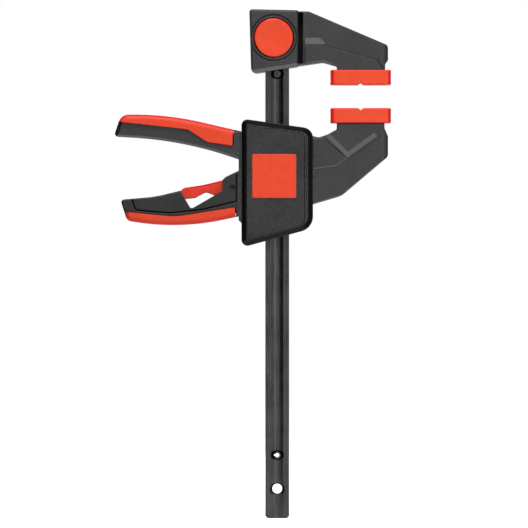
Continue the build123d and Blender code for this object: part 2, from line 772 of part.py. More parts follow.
def make_handle_grip():
    half = grip_thickness / 2
    grip = round_slab(handle_face(grip_edge_radius + 0.5), -half, half, grip_edge_radius)
    grip &= middle_slab(handle_grip_side(), grip_thickness)
    return grip - grip_spine(handle_face(handle_edge_radius + 0.1))


def inner_rib(z_top, x_from, x_to):
    """Shelf across the housing, from its back wall, with a passage for the rail."""
    shelf = box(x_from, x_to, joint_plane, inner_back, z_top - rib_thickness, z_top)
    return shelf - rail_passage(pass_gap, z_top - rib_thickness - 1, z_top + 1)


def make_jaw_body():
    shell = round_slab(housing_face(), joint_plane, housing_back, housing_edge_radius,
                       front=False)
    arm = round_slab(moving_arm_face(), -arm_thickness / 2, arm_thickness / 2, arm_edge_radius)
    shell += nose_rounding(arm, -pad_height - moving_nose_high - 20, -pad_height)
    shell += moving_relief()
    shell += pad_foot(-pad_height - 2, -pad_height + pad_foot_height)
    shell += make_handle_core()
    shell -= slab(housing_face(housing_wall), joint_plane, inner_back)
    shell -= box(housing_left - side_strip - 1, housing_left + housing_wall + 1, joint_plane,
                 inner_back, -trigger_opening[1], -trigger_opening[0])
    inner_x = housing_left + housing_wall, housing_right - housing_wall
    (upper_top, upper_low), (lower_top, lower_low) = guide_spans
    ribs = [inner_rib(z_top, inner_x[0] + 8, inner_x[1])
            for z_top in (-upper_top + rib_thickness, -upper_low)]
    ribs.append(inner_rib(drive_spring_seat, rail_x - 15, inner_x[1]))
    ribs += [inner_rib(z_top, rail_x - 15, rail_x + guide_width / 2)
             for z_top in (-lower_top + rib_thickness, -lower_low)]
    for rib in ribs:
        shell += rib & slab(housing_face(housing_wall / 2), joint_plane, housing_back)
    shell += box(rail_x + guide_width / 2 + 1, inner_x[1], joint_plane, inner_back,
                 -brake_spring_seat - rib_thickness, -brake_spring_seat)
    for x, z in cover_screw_places:
        shell += rod(x, z, screw_boss_radius, joint_plane, inner_back + 1)
    shell += rod(pivot_x, pivot_z, pivot_boss_radius, trigger_thickness / 2 + free_gap, inner_back + 1)
    shell += rod(brake_x, brake_z, brake_boss_radius, plate_half_depth + free_gap, inner_back + 1)
    shell -= rod(pivot_x, pivot_z, trigger_pin_radius, 0, housing_back - blind_wall)
    shell -= rod(brake_x, brake_z, brake_pin_radius, 0, housing_back - blind_wall)
    for x, z in cover_screw_places:
        shell -= rod(x, z, cover_screw_radius + 0.1, joint_plane, housing_back)
        shell -= rod(x, z, screw_head_radius + 0.2, housing_back - screw_seat_depth, housing_back + 1)
    return shell - rail_passage(pass_gap, -housing_bottom - 20, 0)


def make_front_cover():
    rim = slab(housing_face(), housing_front + cover_face_depth, joint_plane)
    rim_face = rim.faces().sort_by(Axis.Y)[0]
    rim = chamfer(rim_face.edges(), rim_bevel[0], length2=rim_bevel[1], reference=rim_face)
    plate = round_slab(cover_plate_face(), housing_front, housing_front + cover_face_depth + 1,
                       1.0, back=False)
    rim_side = cover_depth - cover_face_depth - rim_bevel[1]
    strip = outline([
        (housing_left + 4, -housing_top - 7, 0),
        (housing_left - side_strip, -housing_top - 7, 0),
        (housing_left - side_strip, -trigger_opening[1] + side_strip, 0),
        (housing_left, -trigger_opening[1], 0),
        (housing_left + 4, -trigger_opening[1], 0),
    ])
    whole = rim + plate
    cover = whole + slab(strip, joint_plane - rim_side, joint_plane)
    cover -= slab(housing_face(housing_wall), joint_plane - rim_hollow, joint_plane)
    cover -= slab(offset(cover_plate_face(), amount=-cover_lip), inner_front, joint_plane)
    cover -= slab(badge_face(badge_size + 0.2), housing_front - 1,
                  housing_front + badge_thickness - badge_proud)
    for x, z in cover_screw_places:
        cover += rod(x, z, screw_boss_radius, joint_plane, inner_front - 0.5) & whole
        cover -= rod(x, z, cover_screw_radius, joint_plane, housing_front + blind_wall - 0.2)
    for x, z, radius, y in ((pivot_x, pivot_z, pivot_boss_radius, trigger_thickness / 2),
                            (brake_x, brake_z, brake_boss_radius, plate_half_depth)):
        boss = rod(x, z, radius, joint_plane, inner_front - 0.5) & whole
        cover += boss + rod(x, z, radius, -y - free_gap, joint_plane - 0.5)
    cover -= rod(pivot_x, pivot_z, trigger_pin_radius, 0, housing_front + blind_wall)
    cover -= rod(brake_x, brake_z, brake_pin_radius, 0, housing_front + blind_wall)
    return cover


def badge_face(size):
    face = Plane.XZ * RectangleRounded(size, size, badge_corner_radius)
    return Pos(rail_x + badge_centre[0], 0, badge_centre[1]) * face


def make_badge_plate():
    front = housing_front - badge_proud
    badge = slab(badge_face(badge_size), front, front + badge_thickness)
    return fillet(badge.faces().sort_by(Axis.Y)[0].edges(), 0.4)


def make_cover_screws():
    y_head = housing_back - screw_seat_depth + screw_head_height
    length = y_head - screw_head_height - (housing_front + blind_wall)
    return Compound([screw(x, z, y_head, length, cover_screw_radius, screw_head_radius,
                           screw_head_height) for x, z in cover_screw_places])


def make_cross_pin(x, z, radius):
    pin = rod(x, z, radius, housing_front + blind_wall + 0.1, housing_back - blind_wall - 0.1)
    return chamfer(pin.edges().filter_by(GeomType.CIRCLE), 0.3)


def make_rail_guide(span):
    z_top, z_low = -span[0], -span[1]
    guide = box(rail_x - guide_width / 2, rail_x + guide_width / 2,
                joint_plane - rim_hollow + 0.2, inner_back, z_low, z_top)
    guide = chamfer(guide.edges().filter_by(Axis.Z), 1.0)
    return guide - rail_passage(slide_gap, z_low - 1, z_top + 1)


# --- Trigger ---
def trigger_end():
    return handle_end() + trigger_end_set


def trigger_low_corners():
    end = trigger_end()
    return [
        (end + 5.4, -trigger_tip_low, 6),
        (end + trigger_low_bend[0], -trigger_low_bend[1], trigger_low_bend[2]),
        (housing_left + 1.5, -trigger_low_root, 0),
    ]


def trigger_face():
    """Outline of the trigger, up to where it enters the housing."""
    end, root = trigger_end(), housing_left - side_strip
    return outline([
        (end - 0.2, -trigger_top, trigger_edge_radius + 1),
        *trigger_low_corners(),
        (housing_left + 1.5, -51.6, 0),
        (root, -52.4, 0),
        (root - 10.8, -57.6, trigger_edge_radius + 1),
        (root - 14.0, -60.6, 3),
        (end + 29.4, -74.2, 100),
    ])


def trigger_grip_face():
    """The trigger's outline below its top, for the soft grip."""
    return outline([
        (trigger_end() - 0.2, -trigger_top, grip_edge_radius + 1),
        *trigger_low_corners(),
        (housing_left + 1.5, -trigger_top, 0),
    ])


def trigger_grip_side():
    """What lies below the upper edge of the trigger's soft grip."""
    end, root = trigger_end(), housing_left - side_strip
    (first_x, first_low), (second_x, second_low) = trigger_line_bends
    below = trigger_low_bend[1] + 10
    return outline([
        (end - 5, -trigger_line_end, 0),
        (end + first_x, -first_low, 60),
        (end + second_x, -second_low, 60),
        (root - 2.2, -trigger_line_root, 0.6),
        (root - 2.2, -below, 0),
        (end - 5, -below, 0),
    ])


def trigger_window_face():
    """Notch in the top of the trigger, which the release lever closes."""
    end = trigger_end()
    right = window_right
    return outline([
        (end + 50.0, -69.3, 0),
        (end + 59.0, -84.6, 2.5),
        (right, -69.4, 1.5),
        (right, -50, 0),
        (end + 50.0, -50, 0),
    ])


def trigger_slot_face():
    """Room in the middle of the trigger for the release lever and the brake plate's tail."""
    end = trigger_end()
    right = window_right
    mouth = housing_left + 4.0
    return outline([
        (end + 48.7, -50, 0),
        (end + 48.7, -72.0, 1),
        (end + 54.4, -84.8, 1),
        (end + 60.4, -85.4, 1),
        (end + 79.4, -76.7, 1),
        (right, -81.5, 1),
        (mouth - 7.5, -82.0, 1),
        (mouth - 7.5, -110, 0),
        (mouth, -110, 0),
        (mouth, lever_z + lever_hub_radius + 0.6, 0),
        (right, lever_z + lever_hub_radius + 0.6, 0),
        (right, -50, 0),
    ])


def make_trigger():
    whole, half = trigger_face(), trigger_thickness / 2
    core = round_slab(whole, -half, half, trigger_edge_radius)
    core = core - middle_slab(trigger_grip_side(), grip_thickness) + grip_spine(whole)
    neck = outline([
        (housing_left + 1.0, -51.4, 0),
        (pivot_x, pivot_z + trigger_hub_radius, 0),
        (pivot_x, pivot_z - trigger_hub_radius, 0),
        (housing_left + 1.0, -70.0, 0),
    ])
    core += middle_slab(neck, trigger_thickness)
    core += rod(pivot_x, pivot_z, trigger_hub_radius, -trigger_thickness / 2, trigger_thickness / 2)
    core -= middle_slab(trigger_window_face(), trigger_thickness + 2)
    core -= middle_slab(trigger_slot_face(), trigger_slot)
    core += rod(pivot_x, pivot_z, trigger_hub_radius, -trigger_thickness / 2, trigger_thickness / 2)
    core += box(pivot_x, pivot_x + nose_reach, -nose_width / 2, nose_width / 2,
                pivot_z - nose_radius, pivot_z + nose_radius)
    core += rod(pivot_x + nose_reach, pivot_z, nose_radius, -nose_width / 2, nose_width / 2)
    core -= rod(pivot_x, pivot_z, trigger_pin_radius + running_gap, -housing_depth, housing_depth)
    core -= rod(lever_x, lever_z, lever_pin_radius, -housing_depth, housing_depth)
    return core - trigger_side_grooves()


def trigger_side_grooves():
    """Fine line that frames the trigger's side, parallel to the grip's edge."""
    end = trigger_end()
    right = housing_left - side_strip - 1.8
    path = FilletPolyline(
        (end + 9.4, -76.6), (end + 12.5, -85.4), (end + 41.0, -87.8), (end + 69.0, -84.9),
        (right, -78.0), (right, -55.0), radius=[4, 40, 60, 1.5])
    line = Plane.XZ * trace(path, panel_groove)
    face = trigger_thickness / 2
    floor = face - panel_groove_depth
    return slab(line, -face - 1, -floor) + slab(line, floor, face + 1)


def make_trigger_grip():
    half = grip_thickness / 2
    grip = round_slab(trigger_grip_face(), -half, half, grip_edge_radius)
    grip &= middle_slab(trigger_grip_side(), grip_thickness)
    return grip - grip_spine(trigger_face())


def make_release_lever():
    end = trigger_end()
    right = window_right
    blade = outline([
        (end + 49.6, -69.9, 0.8),
        (end + 53.2, -66.8, 1.5),
        (end + 69.4, -64.4, 80),
        (right - 0.5, -60.6, 1),
        (lever_x, lever_z + lever_hub_radius, 0),
        (lever_x, lever_z - lever_hub_radius + 1, 0),
        (right - 6.5, -73.2, 1),
        (end + 71.5, -70.4, 5),
        (end + 62.5, -75.4, 3),
        (end + 52.9, -76.3, 1),
    ])
    tip_x, tip_z = rail_x + lever_tip[0], lever_tip[1]
    arm = outline([
        (lever_x - 3.5, lever_z - 2, 0),
        (lever_x + 4.5, lever_z - 1, 0),
        (tip_x + 1.2, tip_z + 0.9, 0),
        (tip_x - 1.2, tip_z - 0.9, 0),
    ])
    half_arm = nose_width / 2 - 1
    lever = rod(lever_x, lever_z, lever_hub_radius, -lever_thickness / 2, lever_thickness / 2)
    lever += slab(arm, -half_arm, half_arm)
    lever += rod(tip_x, tip_z, lever_tip_radius, -half_arm, half_arm)
    blade = bevel_slab(blade, lever_thickness, 0.6)
    for start, stop in (((right, -60.5), (end + 69.4, -64.4)), ((end + 69.4, -64.4), (end + 53.2, -66.8))):
        blade -= edge_wedges(start, stop, lever_thickness, *lever_bevel, over=0.5)
    lever += blade
    return lever - rod(lever_x, lever_z, lever_pin_radius + running_gap,
                       -lever_thickness, lever_thickness)


def make_release_pin():
    half = trigger_thickness / 2
    pin = rod(lever_x, lever_z, lever_pin_radius, -half, half)
    end = half + pin_head_height
    for side in (-1, 1):
        pin += rod(lever_x, lever_z, pin_head_radius, side * half, side * end)
        pin -= rod(lever_x, lever_z, pin_dimple[0], side * (end - pin_dimple[1]), side * (end + 1))
    return pin


# --- Drive and brake ---
def make_drive_plate(number):
    z_top = plates_top - number * drive_plate_thickness
    left, right = drive_plate_reach
    plate = box(rail_x - left, rail_x + right, -plate_half_depth, plate_half_depth,
                z_top - drive_plate_thickness, z_top)
    plate = fillet(plate.edges().filter_by(Axis.Z), 2.0)
    return plate - rail_passage(plate_hole_gap, z_top - drive_plate_thickness - 1, z_top + 1)


def make_drive_spring():
    length = drive_spring_length - 2 * running_gap
    spring = coil(drive_spring_radius, drive_spring_wire, drive_spring_turns, length)
    return Pos(rail_x, 0, drive_spring_seat + running_gap) * spring


def make_brake_plate():
    """Drawn level under its pin, then tilted about the pin until it grips."""
    top = -brake_pin_radius - running_gap
    low = top - brake_plate_thickness
    right = rail_x + brake_plate_reach - brake_x
    left = -brake_tail_set
    profile = outline([
        (left, brake_tail_height, 0.8),
        (left + brake_plate_thickness, brake_tail_height, 0.8),
        (left + brake_plate_thickness, top, 1.0),
        (right, top, 0.6),
        (right, low, 0.6),
        (left, low, 3.0),
    ])
    plate = middle_slab(profile, 2 * plate_half_depth)
    half_tail = brake_tail_width / 2
    for side in (-1, 1):
        plate -= box(left - 1, left + 5.0, side * half_tail, side * (plate_half_depth + 1),
                     low - 1, brake_tail_height + 1)
    hole = rail_width / 2 + plate_hole_gap + 0.1
    centre = rail_x - brake_x
    plate -= box(centre - hole, centre + hole, -half_rail - plate_hole_gap,
                 half_rail + plate_hole_gap, low - 1, top + 1)
    return Pos(brake_x, 0, brake_z) * Rot(0, -brake_tilt, 0) * plate


def make_brake_spring():
    x = rail_x + brake_spring_offset
    arm = x - brake_x
    under = brake_pin_radius + running_gap + brake_plate_thickness
    plate_z = brake_z + (arm - brake_spring_radius - 0.5) * sin(radians(brake_tilt)) - under
    length = plate_z + brake_spring_seat - 2 * running_gap
    spring = coil(brake_spring_radius, brake_spring_wire, brake_spring_turns, length)
    return Pos(x, 0, -brake_spring_seat + running_gap) * spring


# --- Assembly ---
def build_all():
    lowered = Pos(0, 0, -opening)
    fixed = {
        "rail": make_rail(),
        "upper_stop_pin": make_stop_pin(upper_stop_z, stop_pin_web),
        "lower_stop_pin": make_stop_pin(lower_stop_z),
        "fixed_jaw": make_fixed_jaw(),
        "fixed_pad": make_pad(),
        "head_cover": make_head_cover(),
        "head_cover_screws": make_head_cover_screws(),
        "lock_button": make_lock_button(),
        "lock_yoke": make_lock_yoke(),
        "yoke_screws": make_yoke_screws(),
        "lock_spring": make_lock_spring(),
    }
    moving = {
        "jaw_body": make_jaw_body(),
        "front_cover": make_front_cover(),
        "badge_plate": make_badge_plate(),
        "handle_grip": make_handle_grip(),
        "moving_pad": mirror(make_pad(), Plane.XY),
        "upper_rail_guide": make_rail_guide(guide_spans[0]),
        "lower_rail_guide": make_rail_guide(guide_spans[1]),
        "trigger_pin": make_cross_pin(pivot_x, pivot_z, trigger_pin_radius),
        "brake_pin": make_cross_pin(brake_x, brake_z, brake_pin_radius),
        "cover_screws": make_cover_screws(),
        "trigger": make_trigger(),
        "trigger_grip": make_trigger_grip(),
        "release_lever": make_release_lever(),
        "release_pin": make_release_pin(),
        "drive_plate_1": make_drive_plate(0),
        "drive_plate_2": make_drive_plate(1),
        "drive_spring": make_drive_spring(),
        "brake_plate": make_brake_plate(),
        "brake_spring": make_brake_spring(),
    }
    return {**fixed, **{name: lowered * shape for name, shape in moving.items()}}


os.makedirs("parts", exist_ok=True)
for name, shape in build_all().items():
    export_step(shape, f"parts/{name}.step")
    print(name, round(shape.volume / 1000, 2), "cm3")
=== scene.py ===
# Quick release bar clamp: finishes, soft grips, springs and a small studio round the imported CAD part.
# Lengths in the dictionaries are millimetres and angles are degrees, apart from a screw's tilt in radians.
import json
from math import pi, radians

import bmesh
import bpy
import numpy as np
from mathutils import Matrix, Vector

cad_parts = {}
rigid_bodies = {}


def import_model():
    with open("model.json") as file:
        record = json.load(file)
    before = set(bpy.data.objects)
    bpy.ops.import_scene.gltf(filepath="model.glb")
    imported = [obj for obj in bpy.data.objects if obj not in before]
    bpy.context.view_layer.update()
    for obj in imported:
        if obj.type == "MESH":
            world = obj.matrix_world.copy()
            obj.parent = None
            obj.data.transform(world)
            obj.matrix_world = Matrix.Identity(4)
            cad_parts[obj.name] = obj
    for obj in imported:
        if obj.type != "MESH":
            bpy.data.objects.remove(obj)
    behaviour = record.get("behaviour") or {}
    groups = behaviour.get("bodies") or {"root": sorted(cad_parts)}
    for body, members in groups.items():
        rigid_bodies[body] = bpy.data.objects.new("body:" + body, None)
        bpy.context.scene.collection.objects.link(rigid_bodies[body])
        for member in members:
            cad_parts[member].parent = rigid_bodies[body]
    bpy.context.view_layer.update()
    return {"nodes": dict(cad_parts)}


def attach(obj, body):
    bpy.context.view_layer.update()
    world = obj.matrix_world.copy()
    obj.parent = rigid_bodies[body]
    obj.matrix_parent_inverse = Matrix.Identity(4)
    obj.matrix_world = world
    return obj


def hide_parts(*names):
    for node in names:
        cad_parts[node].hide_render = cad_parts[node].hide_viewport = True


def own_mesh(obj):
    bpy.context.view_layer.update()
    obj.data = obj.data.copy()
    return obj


mm = 0.001

for spare in list(bpy.data.objects):
    bpy.data.objects.remove(spare, do_unlink=True)
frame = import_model()
nodes = frame["nodes"]

# the moving jaw is drawn in its own heights, and stands this far down the rail
jawDrop = -19.5


# the camera has a long lens and looks from straight in front; its picture's width is measured at the part's
# middle plane
cameraSet = {
    "place": (-81.1, -6000.0, -150.2), "pictureWidth": 443.5, "sensor": 36.0, "near": 100.0, "far": 50000.0,
}

cameraData = bpy.data.cameras.new("clampCamera")
cameraData.sensor_width = cameraSet["sensor"]
cameraData.lens = cameraSet["sensor"] * -cameraSet["place"][1] / cameraSet["pictureWidth"]
cameraData.clip_start, cameraData.clip_end = cameraSet["near"] * mm, cameraSet["far"] * mm
camera = bpy.data.objects.new("clampCamera", cameraData)
camera.location = Vector(cameraSet["place"]) * mm
camera.rotation_euler = (radians(90), 0, 0)
bpy.context.scene.collection.objects.link(camera)
bpy.context.scene.camera = camera
print("camera: lens", round(cameraData.lens, 1), "mm")


# For the materials. Noise keeps near 0.5: the first range holds nearly all values of one texture, the second
# nearly all values of the sum of two, and the third most of them.
oneNoise, twoNoises, mostOfTwoNoises = (0.35, 0.65), (0.75, 1.25), (0.8, 1.2)
bevelSamples = 6


# adds one node; an input that is a socket is linked, and any other is set on the node's own socket
def addNode(tree, kind, inputs=None, **settings):
    made = tree.nodes.new("ShaderNode" + kind)
    for key, value in settings.items():
        setattr(made, key, value)
    for key, value in (inputs or {}).items():
        if isinstance(value, bpy.types.NodeSocket):
            tree.links.new(value, made.inputs[key])
        else:
            made.inputs[key].default_value = value
    return made


# a new material with its Principled shader, whose constant values are set on the shader itself
def startMaterial(name, values):
    material = bpy.data.materials.new(name)
    material.use_nodes = True
    tree = material.node_tree
    shader = tree.nodes["Principled BSDF"]
    for key, value in values.items():
        shader.inputs[key].default_value = value
    coordinates = addNode(tree, "TexCoord").outputs["Object"]
    return material, tree, shader, coordinates


# the three inputs of the shader that every finish varies over the surface
def linkFinish(tree, shader, colour, roughness, normal):
    tree.links.new(colour, shader.inputs["Base Color"])
    tree.links.new(roughness, shader.inputs["Roughness"])
    tree.links.new(normal, shader.inputs["Normal"])


# noise of a given grain size
def grain(tree, coordinates, size, detail=3.0, roughness=0.55):
    return addNode(tree, "TexNoise", {
        "Vector": coordinates, "Scale": 1.0 / (size * mm), "Detail": detail, "Roughness": roughness,
    }).outputs["Fac"]


# coordinates scaled along each axis, so that noise is drawn out or pressed together there
def stretched(tree, coordinates, scale):
    return addNode(tree, "Mapping", {"Vector": coordinates, "Scale": scale}).outputs["Vector"]


# maps a value from one range to another, held inside it
def spread(tree, value, source, target=(0.0, 1.0)):
    return addNode(tree, "MapRange", {
        "Value": value, "From Min": source[0], "From Max": source[1], "To Min": target[0], "To Max": target[1],
    }).outputs["Result"]


def arithmetic(tree, operation, first, second):
    return addNode(tree, "Math", {0: first, 1: second}, operation=operation).outputs["Value"]


# the colour sockets of a mix node are inputs 6 and 7 and output 2
def blendColours(tree, share, first, second):
    mix = addNode(tree, "Mix", {"Factor": share}, data_type="RGBA")
    for socket, colour in ((mix.inputs[6], first), (mix.inputs[7], second)):
        if isinstance(colour, bpy.types.NodeSocket):
            tree.links.new(colour, socket)
        else:
            socket.default_value = (*colour, 1.0)
    return mix.outputs[2]


# how large a vector's part from front to back is
def depthPart(tree, vector):
    along = addNode(tree, "SeparateXYZ", {"Vector": vector}).outputs["Y"]
    return addNode(tree, "Math", {0: along}, operation="ABSOLUTE").outputs["Value"]


# the normal, rounded over a radius at edges
def roundedNormal(tree, radius):
    return addNode(tree, "Bevel", {"Radius": radius * mm}, samples=bevelSamples).outputs["Normal"]


# how much a spot is an edge: one less the cosine between the true normal and the rounded one, over a range
def edgeShare(tree, rounded, edgeRange):
    trueNormal = addNode(tree, "NewGeometry").outputs["Normal"]
    match = addNode(tree, "VectorMath", {0: rounded, 1: trueNormal}, operation="DOT_PRODUCT")
    return spread(tree, arithmetic(tree, "SUBTRACT", 1.0, match.outputs["Value"]), edgeRange)


# how much a spot belongs to a flat front or back: those carry the mottled tone, and slopes and sides take a
# darker colour, a painted shade
def flatShare(tree, rounded, flatRange):
    return spread(tree, depthPart(tree, rounded), flatRange)


lowBevelHighlightFacing = {"toward": (-0.35, 0.0, -0.94), "facingRange": (0.18, 0.32), "flatRange": (0.5, 0.7)}


# how much a spot is a bevel that faces down and a little left, which is given a paler colour as a painted
# highlight
def lowBevelHighlightShare(tree, rounded, look):
    match = addNode(tree, "VectorMath", {0: rounded, 1: look["toward"]}, operation="DOT_PRODUCT")
    facing = spread(tree, match.outputs["Value"], look["facingRange"])
    return arithmetic(tree, "MULTIPLY", facing, flatShare(tree, rounded, look["flatRange"]))


# bump on top of a normal that is rounded at the edges
def bumped(tree, height, look, rounded):
    return addNode(tree, "Bump", {
        "Strength": look["bumpStrength"], "Distance": look["bumpDepth"] * mm, "Height": height,
        "Normal": rounded,
    }).outputs["Normal"]


mouldedBlack = {
    "ior": 1.5, "shine": 0.45, "roughness": (0.40, 0.56),
    "dark": (0.009, 0.009, 0.0095), "light": (0.026, 0.026, 0.027),
    "mottleSize": 2.6, "mottleShare": 0.55, "cloudSize": 30.0, "cloudShare": 0.45,
    "grainSize": 0.34, "pitSize": 0.6, "pitDepth": 0.6, "bumpDepth": 0.07, "bumpStrength": 0.6,
    "edge": (0.085, 0.085, 0.086), "edgeRadius": 0.55, "edgeRange": (0.005, 0.09),
    "wearAndHighlightNoise": (0.36, 0.54), "wearAndHighlightShare": (0.30, 1.0), "wornPolish": 0.12,
    "slope": (0.008, 0.008, 0.0085), "flatRange": (0.90, 0.985), "lowBevelHighlight": (0.13, 0.13, 0.132),
    "recessShade": (0.002, 0.002, 0.002), "recessHalfDepth": 0.0, "recessFade": 0.4, "recessRoughness": 0.5,
}
# the cover's edge colour is much paler: wear and a painted highlight along the plate's border and rims
coverBlack = dict(mouldedBlack, dark=(0.034, 0.034, 0.0345), light=(0.058, 0.058, 0.059),
                  slope=(0.003, 0.003, 0.0032), edge=(0.30, 0.30, 0.30), shine=0.04, edgeRadius=0.6,
                  lowBevelHighlight=(0.022, 0.022, 0.0225))
triggerBlack = dict(mouldedBlack, dark=(0.007, 0.007, 0.0075), light=(0.020, 0.020, 0.0205), shine=0.32,
                    lowBevelHighlight=(0.010, 0.010, 0.0105), recessHalfDepth=10.2)
headBlack = dict(mouldedBlack, recessHalfDepth=10.3)


# black glass filled nylon: fine spark eroded grain, dull pits, faint clouding; edges rubbed smooth and paler,
# the paler colour partly wear and partly a painted highlight;
# slopes darker and bevels facing down and a little left paler, a painted shade and a painted highlight; and the
# floors of grooves and slots, nearer the middle plane than a given half depth, dark with painted shade
def makeMouldedBlack(name, look):
    material, tree, shader, at = startMaterial(
        name, {"IOR": look["ior"], "Specular IOR Level": look["shine"]})
    rounded = roundedNormal(tree, look["edgeRadius"])
    edge = edgeShare(tree, rounded, look["edgeRange"])
    fine = grain(tree, at, look["grainSize"])
    pits = addNode(tree, "TexVoronoi", {"Vector": at, "Scale": 1 / (look["pitSize"] * mm)},
                   feature="SMOOTH_F1").outputs["Distance"]
    mottle = grain(tree, at, look["mottleSize"], detail=4.0, roughness=0.65)
    cloud = grain(tree, at, look["cloudSize"], detail=2.0)

    tone = arithmetic(tree, "ADD", spread(tree, mottle, oneNoise, (0.0, look["mottleShare"])),
                      spread(tree, cloud, oneNoise, (0.0, look["cloudShare"])))
    flat = flatShare(tree, rounded, look["flatRange"])
    # bevels facing down and a little left get a paler colour, a painted highlight
    bevelHighlight = lowBevelHighlightShare(tree, rounded, lowBevelHighlightFacing)
    # slopes take the darker slope colour, a painted shade
    slope = blendColours(tree, bevelHighlight, look["slope"], look["lowBevelHighlight"])
    grained = blendColours(tree, flat, slope, blendColours(tree, tone, look["dark"], look["light"]))
    # paler edges: partly wear, partly a painted highlight
    wornEdgeAndHighlight = arithmetic(tree, "MULTIPLY", edge, spread(tree, mottle, look["wearAndHighlightNoise"], look["wearAndHighlightShare"]))
    used = blendColours(tree, wornEdgeAndHighlight, grained, look["edge"])
    # floors of grooves and slots nearer the middle plane are painted dark, a painted shade
    floorDepth = look["recessHalfDepth"] * mm
    low = spread(tree, depthPart(tree, at), (floorDepth, floorDepth - look["recessFade"] * mm))
    shadedRecess = arithmetic(tree, "MULTIPLY", flat, low)
    colour = blendColours(tree, shadedRecess, used, look["recessShade"])

    rough = spread(tree, arithmetic(tree, "ADD", fine, mottle), twoNoises, look["roughness"])
    polished = arithmetic(tree, "SUBTRACT", rough, arithmetic(tree, "MULTIPLY", wornEdgeAndHighlight, look["wornPolish"]))
    roughTotal = arithmetic(tree, "ADD", polished, arithmetic(tree, "MULTIPLY", shadedRecess, look["recessRoughness"]))
    pitHeight = spread(tree, pits, (0.0, look["pitDepth"]), (0.0, look["pitDepth"]))
    height = arithmetic(tree, "ADD", fine, pitHeight)
    linkFinish(tree, shader, colour, roughTotal, bumped(tree, height, look, rounded))
    return material


mouldedRed = {
    "ior": 1.42, "sheen": 0.0, "sheenRoughness": 0.5, "roughness": (0.30, 0.42),
    "deep": (0.72, 0.040, 0.010), "bright": (0.82, 0.060, 0.014), "toneNoise": (0.30, 0.70), "toneFrom": 0.15,
    "cloudSize": 9.0, "scuffSize": 5.0, "scuffStretch": (1.0, 1.0, 6.0), "scuffShare": 0.35,
    "grainSize": 0.28, "bumpDepth": 0.03, "bumpStrength": 0.25,
    "edge": (0.86, 0.075, 0.022), "edgeRadius": 0.4, "edgeRange": (0.02, 0.35), "edgeStrength": 0.4,
    "slope": (0.66, 0.016, 0.008), "flatRange": (0.72, 0.97),
}
# the lever's reds are made darker, a painted shade of the cheeks over it
leverRedShaded = dict(mouldedRed, deep=(0.56, 0.018, 0.010), bright=(0.76, 0.034, 0.012), slope=(0.66, 0.010, 0.006))
softRed = dict(mouldedRed, deep=(0.70, 0.036, 0.009), bright=(0.80, 0.054, 0.012), edge=(0.80, 0.060, 0.016),
               slope=(0.74, 0.014, 0.006), flatRange=(0.66, 0.95), sheen=0.05, roughness=(0.46, 0.62),
               grainSize=0.22, cloudSize=14.0, bumpDepth=0.05, bumpStrength=0.5, edgeRadius=0.3)
# the pads' rounded ends take a deep red slope colour, a painted shade
padRed = dict(mouldedRed, deep=(0.74, 0.044, 0.010), bright=(0.83, 0.064, 0.014), edge=(0.80, 0.060, 0.016),
              slope=(0.80, 0.006, 0.005), flatRange=(0.86, 0.96), roughness=(0.44, 0.58),
              grainSize=0.45, cloudSize=18.0, bumpDepth=0.05, bumpStrength=0.35, edgeRadius=0.35)


# coloured plastic or rubber: a fine stipple, slow changes of depth in the colour, edges a little brighter, and
# slopes and sides a darker colour, a painted shade
def makeRed(name, look):
    material, tree, shader, at = startMaterial(
        name, {"IOR": look["ior"], "Sheen Weight": look["sheen"], "Sheen Roughness": look["sheenRoughness"]})
    rounded = roundedNormal(tree, look["edgeRadius"])
    edge = edgeShare(tree, rounded, look["edgeRange"])
    fine = grain(tree, at, look["grainSize"])
    cloud = grain(tree, at, look["cloudSize"], detail=3.0, roughness=0.5)
    scuff = grain(tree, stretched(tree, at, look["scuffStretch"]), look["scuffSize"], detail=5.0, roughness=0.7)

    clouded = arithmetic(tree, "ADD", cloud, arithmetic(tree, "MULTIPLY", scuff, look["scuffShare"]))
    tone = spread(tree, clouded, look["toneNoise"], (look["toneFrom"], 1.0))
    flat = flatShare(tree, rounded, look["flatRange"])
    # slopes and sides take the darker slope colour, a painted shade
    stippled = blendColours(tree, flat, look["slope"], blendColours(tree, tone, look["deep"], look["bright"]))
    rubbed = arithmetic(tree, "MULTIPLY", edge, look["edgeStrength"])
    colour = blendColours(tree, rubbed, stippled, look["edge"])
    rough = spread(tree, arithmetic(tree, "ADD", fine, scuff), mostOfTwoNoises, look["roughness"])
    linkFinish(tree, shader, colour, rough, bumped(tree, fine, look, rounded))
    return material


blackSteel = {
    "metallic": 0.9, "roughness": (0.24, 0.42), "dark": (0.028, 0.028, 0.030), "light": (0.070, 0.070, 0.073),
    "streakSize": 0.7, "streakStretch": (1.0, 1.0, 0.025), "streakShare": 0.6,
    "patchSize": 22.0, "patchShare": 0.4, "speckSize": 0.5, "speckHeight": 0.5,
    "bumpDepth": 0.03, "bumpStrength": 0.3,
    "bare": (0.26, 0.26, 0.27), "bareNoise": (0.40, 0.62), "bareMost": 0.8,
    "edgeRadius": 0.4, "edgeRange": (0.02, 0.30),
}
darkPin = dict(blackSteel, dark=(0.004, 0.004, 0.004), light=(0.012, 0.012, 0.012), bare=(0.5, 0.5, 0.5))


